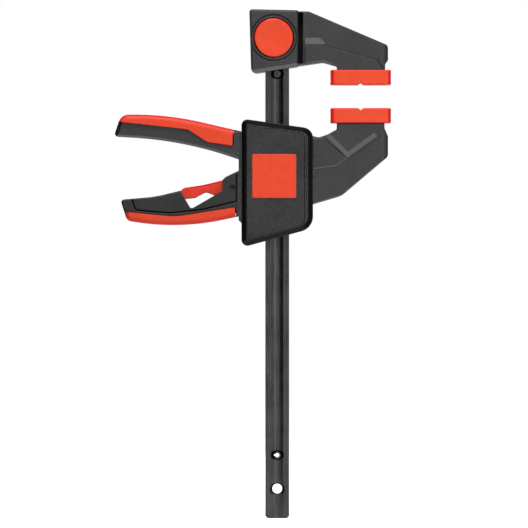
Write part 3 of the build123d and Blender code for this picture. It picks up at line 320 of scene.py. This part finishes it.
# drawn steel with a black oxide skin: long fine streaks, oily patches, specks, the skin thin on edges
def makeBlackSteel(name, look):
    material, tree, shader, at = startMaterial(name, {"Metallic": look["metallic"]})
    rounded = roundedNormal(tree, look["edgeRadius"])
    edge = edgeShare(tree, rounded, look["edgeRange"])
    streaks = grain(tree, stretched(tree, at, look["streakStretch"]), look["streakSize"], detail=4.0)
    patches = grain(tree, at, look["patchSize"], detail=4.0, roughness=0.6)
    specks = grain(tree, at, look["speckSize"], detail=2.0)

    tone = arithmetic(tree, "ADD", spread(tree, streaks, oneNoise, (0.0, look["streakShare"])),
                      spread(tree, patches, oneNoise, (0.0, look["patchShare"])))
    skin = blendColours(tree, tone, look["dark"], look["light"])
    bare = arithmetic(tree, "MULTIPLY", edge, spread(tree, specks, look["bareNoise"], (0.0, look["bareMost"])))
    colour = blendColours(tree, bare, skin, look["bare"])
    rough = spread(tree, arithmetic(tree, "ADD", patches, specks), twoNoises, look["roughness"])
    height = arithmetic(tree, "ADD", streaks, arithmetic(tree, "MULTIPLY", specks, look["speckHeight"]))
    linkFinish(tree, shader, colour, rough, bumped(tree, height, look, rounded))
    return material


brightPin = {
    "dark": (0.035, 0.035, 0.038), "light": (0.11, 0.11, 0.115), "roughness": (0.22, 0.38),
    "grainSize": 0.5, "patchSize": 3.0,
    "stain": (0.03, 0.03, 0.03), "stainNoise": (0.60, 0.75), "stainMost": 0.5,
    "edgeRadius": 0.2, "bumpDepth": 0.02, "bumpStrength": 0.2,
}
zincSteel = dict(brightPin, dark=(0.44, 0.45, 0.46), light=(0.66, 0.67, 0.67), stain=(0.40, 0.38, 0.33),
                 roughness=(0.30, 0.48), grainSize=0.9, patchSize=6.0, edgeRadius=0.25, bumpStrength=0.25)
springSteel = dict(brightPin, dark=(0.26, 0.26, 0.27), light=(0.50, 0.50, 0.52), stain=(0.20, 0.18, 0.16),
                   roughness=(0.20, 0.36), grainSize=0.25, patchSize=4.0, edgeRadius=0.1, bumpDepth=0.01)


# bare or plated steel: a fine grain, slow patches, and thin stains of oil
def makeSteel(name, look):
    material, tree, shader, at = startMaterial(name, {"Metallic": 1.0})
    rounded = roundedNormal(tree, look["edgeRadius"])
    fine = grain(tree, at, look["grainSize"], detail=4.0)
    patches = grain(tree, at, look["patchSize"], detail=4.0, roughness=0.6)
    tone = spread(tree, arithmetic(tree, "ADD", fine, patches), mostOfTwoNoises)
    plated = blendColours(tree, tone, look["dark"], look["light"])
    stained = spread(tree, patches, look["stainNoise"], (0.0, look["stainMost"]))
    colour = blendColours(tree, stained, plated, look["stain"])
    rough = spread(tree, fine, oneNoise, look["roughness"])
    linkFinish(tree, shader, colour, rough, bumped(tree, fine, look, rounded))
    return material


acetal = {
    "ior": 1.48, "dark": (0.62, 0.60, 0.54), "light": (0.76, 0.75, 0.70), "roughness": (0.34, 0.50),
    "grime": (0.20, 0.19, 0.17), "grimeNoise": (0.58, 0.75), "grimeMost": 0.6,
    "grainSize": 0.4, "patchSize": 5.0, "edgeRadius": 0.3, "bumpDepth": 0.03, "bumpStrength": 0.25,
}


# natural acetal: waxy off-white, with grey smears where grease has gathered
def makeAcetal(name, look):
    material, tree, shader, at = startMaterial(name, {"IOR": look["ior"]})
    rounded = roundedNormal(tree, look["edgeRadius"])
    fine = grain(tree, at, look["grainSize"])
    patches = grain(tree, at, look["patchSize"], detail=4.0, roughness=0.6)
    clean = blendColours(tree, spread(tree, patches, oneNoise), look["dark"], look["light"])
    smeared = spread(tree, patches, look["grimeNoise"], (0.0, look["grimeMost"]))
    colour = blendColours(tree, smeared, clean, look["grime"])
    rough = spread(tree, fine, oneNoise, look["roughness"])
    linkFinish(tree, shader, colour, rough, bumped(tree, fine, look, rounded))
    return material


# one finish for each slot, then those of single nodes that look a little different
finishes = {
    "black_plastic": makeMouldedBlack("blackNylon", mouldedBlack),
    "red_plastic": makeRed("hardRed", mouldedRed),
    "red_grip": makeRed("gripRubber", softRed),
    "red_pad": makeRed("padPlastic", padRed),
    "black_steel": makeBlackSteel("blackOxideSteel", blackSteel),
    "pin_steel": makeSteel("springPinSteel", brightPin),
    "zinc_steel": makeSteel("zincPlatedSteel", zincSteel),
    "spring_steel": makeSteel("springWire", springSteel),
    "guide_plastic": makeAcetal("naturalAcetal", acetal),
}
ownFinishes = {
    "front_cover": makeMouldedBlack("coverNylon", coverBlack),
    "trigger": makeMouldedBlack("triggerNylon", triggerBlack),
    "fixed_jaw": makeMouldedBlack("headNylon", headBlack),
    "release_lever": makeRed("leverRedShaded", leverRedShaded),
    "release_pin": makeBlackSteel("darkPinSteel", darkPin),
}
nodeSlots = {}
for name, part in nodes.items():
    nodeSlots[name] = part.material_slots[0].material.name.split(".")[0]
    part.material_slots[0].material = ownFinishes.get(name, finishes[nodeSlots[name]])
print("materials:", len(finishes), "finishes on", len(nodeSlots), "nodes")


# for every mesh: points nearer than the first length are made one, and edges shorter than the second go
weld = {"merge": 0.002, "shortest": 0.001}


# Grids of rows x columns x 3 points become one mesh. Each row is a closed ring; a first or last row that lies
# on a point or a line closes by merging, and any other is closed with a cap.
def surface(name, grids, sharpAngle, caps=False):
    points, faces, start = [], [], 0
    for grid in grids:
        rows, columns = grid.shape[:2]
        index = start + np.arange(rows * columns).reshape(rows, columns)
        around = np.hstack([index, index[:, :1]])
        quads = np.stack([around[:-1, :-1], around[:-1, 1:], around[1:, 1:], around[1:, :-1]], axis=-1)
        faces += quads.reshape(-1, 4).tolist()
        if caps:
            faces += [index[0, ::-1].tolist(), index[-1].tolist()]
        points.append(grid.reshape(-1, 3))
        start += rows * columns
    mesh = bpy.data.meshes.new(name)
    mesh.from_pydata((np.concatenate(points) * mm).tolist(), [], faces)
    clean = bmesh.new()
    clean.from_mesh(mesh)
    bmesh.ops.remove_doubles(clean, verts=clean.verts, dist=weld["merge"] * mm)
    bmesh.ops.dissolve_degenerate(clean, edges=clean.edges, dist=weld["shortest"] * mm)
    bmesh.ops.recalc_face_normals(clean, faces=clean.faces)
    clean.to_mesh(mesh)
    clean.free()
    mesh.shade_smooth()
    mesh.set_sharp_from_angle(angle=radians(sharpAngle))
    piece = bpy.data.objects.new(name, mesh)
    bpy.context.scene.collection.objects.link(piece)
    return piece


# a finished piece takes a node's place, its body and its slot's finish
def standFor(piece, node, body):
    piece.data.materials.append(finishes[nodeSlots[node]])
    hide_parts(node)
    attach(piece, body)
    return piece


# points of a line through corners given as (x, z, radius); a corner with a radius becomes an arc
def filletedLine(corners, arcSteps):
    rows = np.array(corners, float)
    line, pieces = rows[:, :2], []
    for i, (corner, radius) in enumerate(zip(line, rows[:, 2])):
        if radius == 0:
            pieces.append(corner[None, :])
            continue
        before, after = line[i - 1] - corner, line[i + 1] - corner
        before, after = before / np.linalg.norm(before), after / np.linalg.norm(after)
        half = np.arccos(np.clip(before @ after, -1, 1)) / 2
        middle = (before + after) / np.linalg.norm(before + after)
        centre = corner + middle * radius / np.sin(half)
        first = corner + before * radius / np.tan(half) - centre
        last = corner + after * radius / np.tan(half) - centre
        share = np.linspace(0, 1, arcSteps)[:, None]
        swing = pi - 2 * half
        arc = (np.sin((1 - share) * swing) * first + np.sin(share * swing) * last) / np.sin(swing)
        pieces.append(centre + arc)
    return np.concatenate(pieces)


# evenly spaced points along a polyline
def respaced(line, count):
    steps = np.concatenate([[0], np.cumsum(np.linalg.norm(np.diff(line, axis=0), axis=1))])
    at = np.linspace(0, steps[-1], count)
    return np.stack([np.interp(at, steps, line[:, 0]), np.interp(at, steps, line[:, 1])], axis=1)


# the clamping pads
padShape = {
    "length": 50.8, "depth": 32.0, "height": 12.5, "cornerRadius": 4.5, "edgeRadius": 1.0,
    "grooveWidth": 4.5, "grooveDepth": 1.8, "grooveFade": 5.5, "pocket": (32.0, 16.0, 6.0), "hollow": 0.12,
    "cornerPoints": 9, "endPoints": 8, "sidePoints": 12, "edgeRings": 6, "sideRings": 8, "sharpAngle": 32.0,
}


# A block worked out as rings round its plan. Each ring is the plan drawn in by some inset at some height;
# the rings run from the clamping face's middle line over its rounded edge, up the slightly hollow side, over
# the back edge, and down into the pocket. The V groove sinks the face by its depth x (1 - |x| / half width),
# and fades up the side.
def makePad(name, node, body, faceZ, up, look):
    halfLength, halfDepth, high = look["length"] / 2, look["depth"] / 2, look["height"]
    radius, edge, notchHalf = look["cornerRadius"], look["edgeRadius"], look["grooveWidth"] / 2

    # half of the plan is a corner, an end, the next corner and a long side; the rest is the same half, turned
    swing = np.linspace(0, pi / 2, look["cornerPoints"])
    firstOut, nextOut = [np.stack([np.cos(turn + swing), np.sin(turn + swing)], 1) for turn in (-pi / 2, 0)]
    endY = np.linspace(radius - halfDepth, halfDepth - radius, look["endPoints"])[1:-1]
    beside = np.linspace(notchHalf, halfLength - radius, look["sidePoints"])[:-1]
    sideX = np.concatenate([beside[::-1], [notchHalf / 2, 0.0, -notchHalf / 2], -beside])
    halfPlan = np.concatenate([
        [halfLength - radius, radius - halfDepth] + radius * firstOut,
        np.stack([np.full(len(endY), halfLength), endY], 1),
        [halfLength - radius, halfDepth - radius] + radius * nextOut,
        np.stack([sideX, np.full(len(sideX), halfDepth)], 1),
    ])
    halfInward = np.concatenate([-firstOut, np.tile([-1.0, 0.0], (len(endY), 1)),
                                 -nextOut, np.tile([0.0, -1.0], (len(sideX), 1))])
    plan, inward = np.concatenate([halfPlan, -halfPlan]), np.concatenate([halfInward, -halfInward])

    # each of the plan's points moved to the nearest one of a rectangle, or of a line when halfY is 0
    def pressed(halfX, halfY):
        return np.stack([np.clip(plan[:, 0], -halfX, halfX), np.clip(plan[:, 1], -halfY, halfY)], 1)

    arc = np.linspace(0, pi / 2, look["edgeRings"])
    pocketX, pocketY, pocketDepth = look["pocket"]
    sideHeights = np.linspace(edge, high - edge, look["sideRings"])[1:-1]
    hollow = look["hollow"] * np.sin(pi * (sideHeights - edge) / (high - 2 * edge))
    rings = [(pressed(halfLength - halfDepth, 0), 0.0)]
    rings += [(plan + inward * edge * (1 - np.sin(a)), edge * (1 - np.cos(a))) for a in arc]
    rings += [(plan + inward * inset, height) for inset, height in zip(hollow, sideHeights)]
    rings += [(plan + inward * edge * (1 - np.cos(a)), high - edge * (1 - np.sin(a))) for a in arc]
    outerRings = len(rings)
    rings += [(pressed(pocketX / 2, pocketY / 2), high),
              (pressed(pocketX / 2, pocketY / 2), high - pocketDepth),
              (pressed((pocketX - pocketY) / 2, 0), high - pocketDepth)]
    grid = np.stack([np.column_stack([ring, np.full(len(ring), height)]) for ring, height in rings])

    groove = look["grooveDepth"] * np.clip(1 - np.abs(grid[:outerRings, :, 0]) / notchHalf, 0, 1)
    fade = np.clip((look["grooveFade"] - grid[:outerRings, :, 2]) / (look["grooveFade"] - edge), 0, 1)
    grid[:outerRings, :, 2] += groove * fade
    grid[..., 2] = faceZ + up * grid[..., 2]
    return standFor(surface(name, [grid], look["sharpAngle"]), node, body)


fixedPad = makePad("fixedPad", "fixed_pad", "rail_and_head", 0.0, 1, padShape)
makePad("movingPad", "moving_pad", "moving_jaw", jawDrop, -1, padShape)
print("pads:", len(fixedPad.data.polygons), "faces each")


# what both soft grips share; a small bevel runs where the side meets the parting line, and takes sideFrom of
# the side's height
gripSection = {
    "halfDepth": 13.0, "edgeRadius": 4.5, "seatHalf": 7.5, "wall": 3.0, "bevel": 0.4, "endRound": 0.15,
    "outerArc": 40, "outerPoints": 170, "lineArc": 12, "sideFrom": 0.04, "sideRows": 8, "edgeRows": 9,
    "sharpAngle": 38.0,
}
handleGripShape = dict(
    gripSection, up=1,
    outer=[(-203.0, -11.35, 0), (-201.0, -5.3, 9), (-161.5, -5.3, 250), (-106.5, -17.97, 0)],
    line=[(-211.6, -10.4, 0), (-145.1, -17.9, 10), (-129.1, -28.4, 10), (-106.5, -31.9, 0)])
triggerGripShape = dict(
    gripSection, up=-1,
    outer=[(-198.5, -86.7, 0), (-196.0, -94.6, 6), (-150.4, -101.0, 200), (-104.6, -91.29, 0)],
    line=[(-206.4, -86.2, 0), (-155.4, -91.2, 60), (-130.4, -87.2, 60), (-104.6, -83.1, 0)])


# A rubber shell carried along the grip's outer line. Half a section starts at the seat, goes out on the
# parting line, straight up the side, over an arc of the edge radius and across the back; a point inset by d
# lies d along the line's inward normal, and is held on the grip's side of the parting line. The other half
# is its mirror image, and the seat inside lies one wall further in. The root end is drawn in by a small arc.
def makeGrip(name, node, body, look):
    outer = respaced(filletedLine(look["outer"], look["outerArc"]), look["outerPoints"])
    line = filletedLine(look["line"], look["lineArc"])
    up, half, edge, wall = look["up"], look["halfDepth"], look["edgeRadius"], look["wall"]
    along = np.gradient(outer, axis=0)
    along /= np.linalg.norm(along, axis=1)[:, None]
    inward = up * np.stack([along[:, 1], -along[:, 0]], axis=1)
    nearEnd = np.clip(1 + (outer[:, 0] - outer[-1, 0]) / look["endRound"], 0, 1)
    shrink = look["endRound"] * (1 - np.sqrt(1 - nearEnd ** 2))

    def partingHeight(x):
        return np.interp(x, line[:, 0], line[:, 1]) + up * shrink + jawDrop

    def pointRow(depth, inset, drawn=1.0):
        at = outer + inward * (inset + drawn * shrink)[:, None] + [0.0, jawDrop]
        limit = partingHeight(at[:, 0])
        height = np.where(up * (at[:, 1] - limit) > 0, at[:, 1], limit)
        return np.stack([at[:, 0], depth - drawn * shrink, height], axis=1)

    shoulder = pointRow(half, edge)
    lowered = np.stack([shoulder[:, 0], shoulder[:, 1], partingHeight(shoulder[:, 0])], axis=1)
    ledge = [lowered * [1, 0, 1] + [0, look["seatHalf"], 0], lowered - [0, look["bevel"], 0]]
    side = [lowered + (shoulder - lowered) * share
            for share in np.linspace(look["sideFrom"], 1.0, look["sideRows"])]
    arcs = [pointRow(half - edge * (1 - np.cos(a)), edge * (1 - np.sin(a)))
            for a in np.linspace(0, pi / 2, look["edgeRows"])[1:]]
    back = [pointRow((half - edge) / 2 + shrink / 2, 0), pointRow(shrink, 0)]
    halfSection = ledge + side + arcs + back
    seatEdge, seatMiddle = pointRow(look["seatHalf"], wall, 0.0), pointRow(0, wall, 0.0)
    flip = np.array([1, -1, 1])
    mirrored = [row * flip for row in halfSection[-2::-1]]
    grid = np.stack(halfSection + mirrored + [seatEdge * flip, seatMiddle, seatEdge], axis=1)
    return standFor(surface(name, [grid], look["sharpAngle"], caps=True), node, body)


handleGrip = makeGrip("handleGrip", "handle_grip", "moving_jaw", handleGripShape)
makeGrip("triggerGrip", "trigger_grip", "trigger", triggerGripShape)
print("grips:", len(handleGrip.data.polygons), "faces each")


# what the three springs share: the turns over which an end coil opens, after half as many that stay closed
# and hardly rise; the part of the wire that is ground off; and the mesh's steps
springWire = {
    "opening": 0.8, "closedRise": 0.06, "ground": 0.3, "stepsPerTurn": 40, "ringPoints": 14, "sharpAngle": 50.0,
}
driveSpringShape = dict(springWire, centre=(-70.0, 0.0), low=-99.95, high=-84.55, radius=12.5, wire=1.2,
                        turns=5.5, alongY=False, held="low", keep=0.80)
brakeSpringShape = dict(springWire, centre=(-51.5, 0.0), low=-116.45, high=-107.42, radius=3.0, wire=0.9,
                        turns=5.5, alongY=False, held="low", keep=0.62)
lockSpringShape = dict(springWire, centre=(-70.0, 39.4), low=8.45, high=14.45, radius=4.6, wire=0.8,
                       turns=4.6, alongY=True, held="high", keep=0.33)


# A round wire along a helix whose rise per turn eases to almost nothing at the closed end turns, both ends
# ground flat. The wire's ring stands on the radial and the binormal direction. The axis is Z, or Y for the
# lock, whose centre is given as x and z; which end is held is given, and not used here.
def makeSpring(name, node, body, look):
    length, wire, turns = look["high"] - look["low"], look["wire"], look["turns"]
    share = np.linspace(0, 1, int(turns * look["stepsPerTurn"]) + 1)
    swing = 2 * pi * turns * share
    fromEnd = np.minimum(share, 1 - share) * turns
    pace = np.clip((fromEnd - look["opening"] / 2) / look["opening"], 0, 1) + look["closedRise"]
    rise = np.concatenate([[0], np.cumsum((pace[1:] + pace[:-1]) / 2)])
    ground = look["ground"] * wire
    height = ground + (length - 2 * ground) * rise / rise[-1]
    radial = np.stack([np.cos(swing), np.sin(swing), 0 * swing], axis=1)
    path = look["radius"] * radial + np.outer(height, [0, 0, 1])
    tangent = np.gradient(path, axis=0)
    tangent /= np.linalg.norm(tangent, axis=1)[:, None]
    binormal = np.cross(tangent, radial)
    ringTurn = np.linspace(0, 2 * pi, look["ringPoints"], endpoint=False)[None, :, None]
    ring = np.cos(ringTurn) * radial[:, None, :] + np.sin(ringTurn) * binormal[:, None, :]
    grid = path[:, None, :] + wire / 2 * ring
    grid[..., 2] = np.clip(grid[..., 2], 0, length) + look["low"]
    first, second = look["centre"]
    if look["alongY"]:
        grid = np.stack([grid[..., 0] + first, grid[..., 2], grid[..., 1] + second], axis=-1)
    else:
        grid += [first, second, 0]
    piece = surface(name, [grid], look["sharpAngle"], caps=True)
    standFor(piece, node, body)
    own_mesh(piece)


makeSpring("driveSpring", "drive_spring", "moving_jaw", driveSpringShape)
makeSpring("brakeSpring", "brake_spring", "moving_jaw", brakeSpringShape)
makeSpring("lockSpring", "lock_spring", "rail_and_head", lockSpringShape)
print("springs: 3")


# What both sets of screws share. The crown, the shoulder's drop and the cross's depth are shares of the head's
# height; the cross's other sizes, innerShare and shoulderFrom are shares of its radius, and tipShare is one of
# the shank's.
panHead = {
    "crown": 0.28, "shoulderFrom": 0.72, "shoulderDrop": 0.34, "rimRound": 0.15,
    "crossArm": 0.56, "crossWidth": 0.17, "crossDepth": 0.62, "crossBevel": 0.10,
    "shankRadius": 1.5, "neck": 0.4, "tipLength": 0.8, "tipShare": 0.5, "firstTilt": 0.5, "nextTilt": 0.9,
    "ringPoints": 96, "innerRings": 30, "innerShare": 0.7, "rimRings": 9, "sharpAngle": 30.0,
}
coverScrewShape = dict(panHead, places=[(-92.0, -39.5), (-50.0, -46.5), (-50.0, -91.5), (-92.0, -122.5)],
                       back=16.4, headRadius=2.9, headHeight=2.0, length=29.8)
headScrewShape = dict(panHead, places=[(-85.0, 24.4), (-85.0, 54.4), (-61.0, 24.4), (-61.0, 54.4)],
                      back=18.6, headRadius=2.5, headHeight=1.6, length=7.0)


# Pan heads facing +Y. Over the radius r the head stands at its height less crown x r^2, rounded down to the
# rim; a cross is let in where the smaller of |x| and |z| is under half its width and the larger inside its
# arm, with sloping walls. Below the rim the same rings run in to the shank and down to its tip.
def makeScrews(name, node, body, look):
    radius, high, length = look["headRadius"], look["headHeight"], look["length"]
    shank, rimRound = look["shankRadius"], look["rimRound"]
    turn = np.linspace(0, 2 * pi, look["ringPoints"], endpoint=False)
    share = np.concatenate([np.linspace(0, look["innerShare"], look["innerRings"]),
                            np.linspace(look["innerShare"], 1.0, look["rimRings"] + 1)[1:]])
    r = (share * radius)[:, None]
    x, z = r * np.cos(turn), r * np.sin(turn)
    past = np.clip((share - look["shoulderFrom"]) / (1 - look["shoulderFrom"]), 0, 1)
    crown = look["crown"] * high * share ** 2
    shoulder = look["shoulderDrop"] * high * (1 - np.sqrt(1 - past ** 2))
    slim, wide = np.minimum(np.abs(x), np.abs(z)) / radius, np.maximum(np.abs(x), np.abs(z)) / radius
    inside = np.minimum(look["crossWidth"] - slim, look["crossArm"] - wide) / look["crossBevel"] + 0.5
    letIn = look["crossDepth"] * high * np.clip(inside, 0, 1)
    head = np.stack([x, high - crown[:, None] - shoulder[:, None] - letIn, z], axis=-1)
    under = [(radius, rimRound), (radius - rimRound, 0.0), (shank, 0.0), (shank, -look["neck"]),
             (shank, look["tipLength"] - length), (look["tipShare"] * shank, -length), (0.0, -length)]
    lower = np.stack([np.stack([r0 * np.cos(turn), np.full(len(turn), y0), r0 * np.sin(turn)], axis=-1)
                      for r0, y0 in under])
    screw = np.concatenate([head, lower])
    grids = []
    for i, (placeX, placeZ) in enumerate(look["places"]):
        tilt = look["firstTilt"] + look["nextTilt"] * i
        turned = np.stack([screw[..., 0] * np.cos(tilt) - screw[..., 2] * np.sin(tilt), screw[..., 1],
                           screw[..., 0] * np.sin(tilt) + screw[..., 2] * np.cos(tilt)], axis=-1)
        grids.append(turned + [placeX, look["back"] - high, placeZ])
    standFor(surface(name, grids, look["sharpAngle"]), node, body)


makeScrews("coverScrews", "cover_screws", "moving_jaw", coverScrewShape)
makeScrews("headScrews", "head_cover_screws", "rail_and_head", headScrewShape)
print("screws:", len(coverScrewShape["places"]) + len(headScrewShape["places"]))


# the studio round the part
studio = {
    "floorHeight": -363.8, "floorSize": 9000.0, "floorColour": (0.86, 0.86, 0.86), "floorGlow": 0.80,
    "skyLight": 0.30, "cardColour": (0.02, 0.02, 0.02), "cardRoughness": 0.9, "lampAim": (-60, 0, -60),
    "lamps": {
        "keyLamp": {"place": (-250, -850, 1600), "size": (900, 900), "watts": 34.0},
        "sideLamp": {"place": (950, -1750, -60), "size": (900, 1500), "watts": 8.0},
        "backLamp": {"place": (-300, 1900, 500), "size": (1200, 900), "watts": 12.0},
    },
    "cards": {
        "card1": {"place": (-430, -200, -60), "turn": (0, 90, 0), "size": (900, 1000)},
        "card2": {"place": (420, 350, -60), "turn": (0, 90, 0), "size": (900, 600)},
        "card3": {"place": (-60, 250, 420), "turn": (0, 0, 0), "size": (1000, 800)},
    },
}


def makeLamp(name, look, aim):
    lamp = bpy.data.lights.new(name, "AREA")
    lamp.shape, lamp.size, lamp.size_y = "RECTANGLE", look["size"][0] * mm, look["size"][1] * mm
    lamp.energy = look["watts"]
    holder = bpy.data.objects.new(name, lamp)
    holder.location = Vector(look["place"]) * mm
    toward = Vector(aim) * mm - holder.location
    holder.rotation_euler = toward.to_track_quat("-Z", "Y").to_euler()
    holder.visible_camera = False
    bpy.context.scene.collection.objects.link(holder)


def makeSheetOf(material, name, place, turn, size):
    halfX, halfY = size[0] * mm / 2, size[1] * mm / 2
    mesh = bpy.data.meshes.new(name)
    mesh.from_pydata([(-halfX, -halfY, 0), (halfX, -halfY, 0), (halfX, halfY, 0), (-halfX, halfY, 0)],
                     [], [(0, 1, 2, 3)])
    mesh.materials.append(material)
    sheetObject = bpy.data.objects.new(name, mesh)
    sheetObject.location = Vector(place) * mm
    sheetObject.rotation_euler = [radians(v) for v in turn]
    bpy.context.scene.collection.objects.link(sheetObject)
    return sheetObject


# one for the rays that see a surface straight, in a reflection or through a clear piece
def seenRays(tree):
    path = addNode(tree, "LightPath")
    either = arithmetic(tree, "MAXIMUM", path.outputs["Is Camera Ray"], path.outputs["Is Glossy Ray"])
    return arithmetic(tree, "MAXIMUM", either, path.outputs["Is Transmission Ray"])


# plain diffuse white, with a glow of its own for the rays that see it, and clear from below
def makeFloorMaterial(look):
    material = bpy.data.materials.new("paleFloor")
    material.use_nodes = True
    tree = material.node_tree
    tree.nodes.clear()
    rays = seenRays(tree)
    paper = addNode(tree, "BsdfDiffuse", {"Color": (*look["floorColour"], 1)})
    glow = addNode(tree, "Emission", {"Strength": look["floorGlow"]})
    dark = addNode(tree, "Emission", {"Strength": 0.0})
    seen = addNode(tree, "MixShader", {0: rays, 1: dark.outputs[0], 2: glow.outputs[0]})
    both = addNode(tree, "AddShader", {0: paper.outputs[0], 1: seen.outputs[0]})
    below = addNode(tree, "NewGeometry").outputs["Backfacing"]
    clear = addNode(tree, "BsdfTransparent")
    whole = addNode(tree, "MixShader", {0: below, 1: both.outputs[0], 2: clear.outputs[0]})
    addNode(tree, "OutputMaterial", {"Surface": whole.outputs[0]})
    return material


# plain dark matt; the cards darken what the part reflects, and hold back some of the light from their side
def makeCardMaterial(look):
    material = bpy.data.materials.new("darkCard")
    material.use_nodes = True
    shader = material.node_tree.nodes["Principled BSDF"]
    shader.inputs["Base Color"].default_value = (*look["cardColour"], 1)
    shader.inputs["Roughness"].default_value = look["cardRoughness"]
    return material


# the sky lights softly, and is plain white for the rays that see it
def makeWorld(look):
    world = bpy.data.worlds.new("paleStudio")
    world.use_nodes = True
    tree = world.node_tree
    tree.nodes.clear()
    soft = addNode(tree, "Background", {"Color": (1, 1, 1, 1), "Strength": look["skyLight"]})
    white = addNode(tree, "Background", {"Color": (1, 1, 1, 1), "Strength": 1.0})
    mixed = addNode(tree, "MixShader", {0: seenRays(tree), 1: soft.outputs[0], 2: white.outputs[0]})
    addNode(tree, "OutputWorld", {"Surface": mixed.outputs[0]})
    bpy.context.scene.world = world


makeWorld(studio)
makeSheetOf(makeFloorMaterial(studio), "floor", place=(0, 0, studio["floorHeight"]), turn=(0, 0, 0),
            size=(studio["floorSize"], studio["floorSize"]))
cardMaterial = makeCardMaterial(studio)
for cardName, cardLook in studio["cards"].items():
    card = makeSheetOf(cardMaterial, cardName, **cardLook)
    card.visible_camera = card.visible_shadow = False
for lampName, lampLook in studio["lamps"].items():
    makeLamp(lampName, lampLook, studio["lampAim"])
bpy.context.scene.view_settings.view_transform = "Standard"
print("studio: floor, cards and lamps")
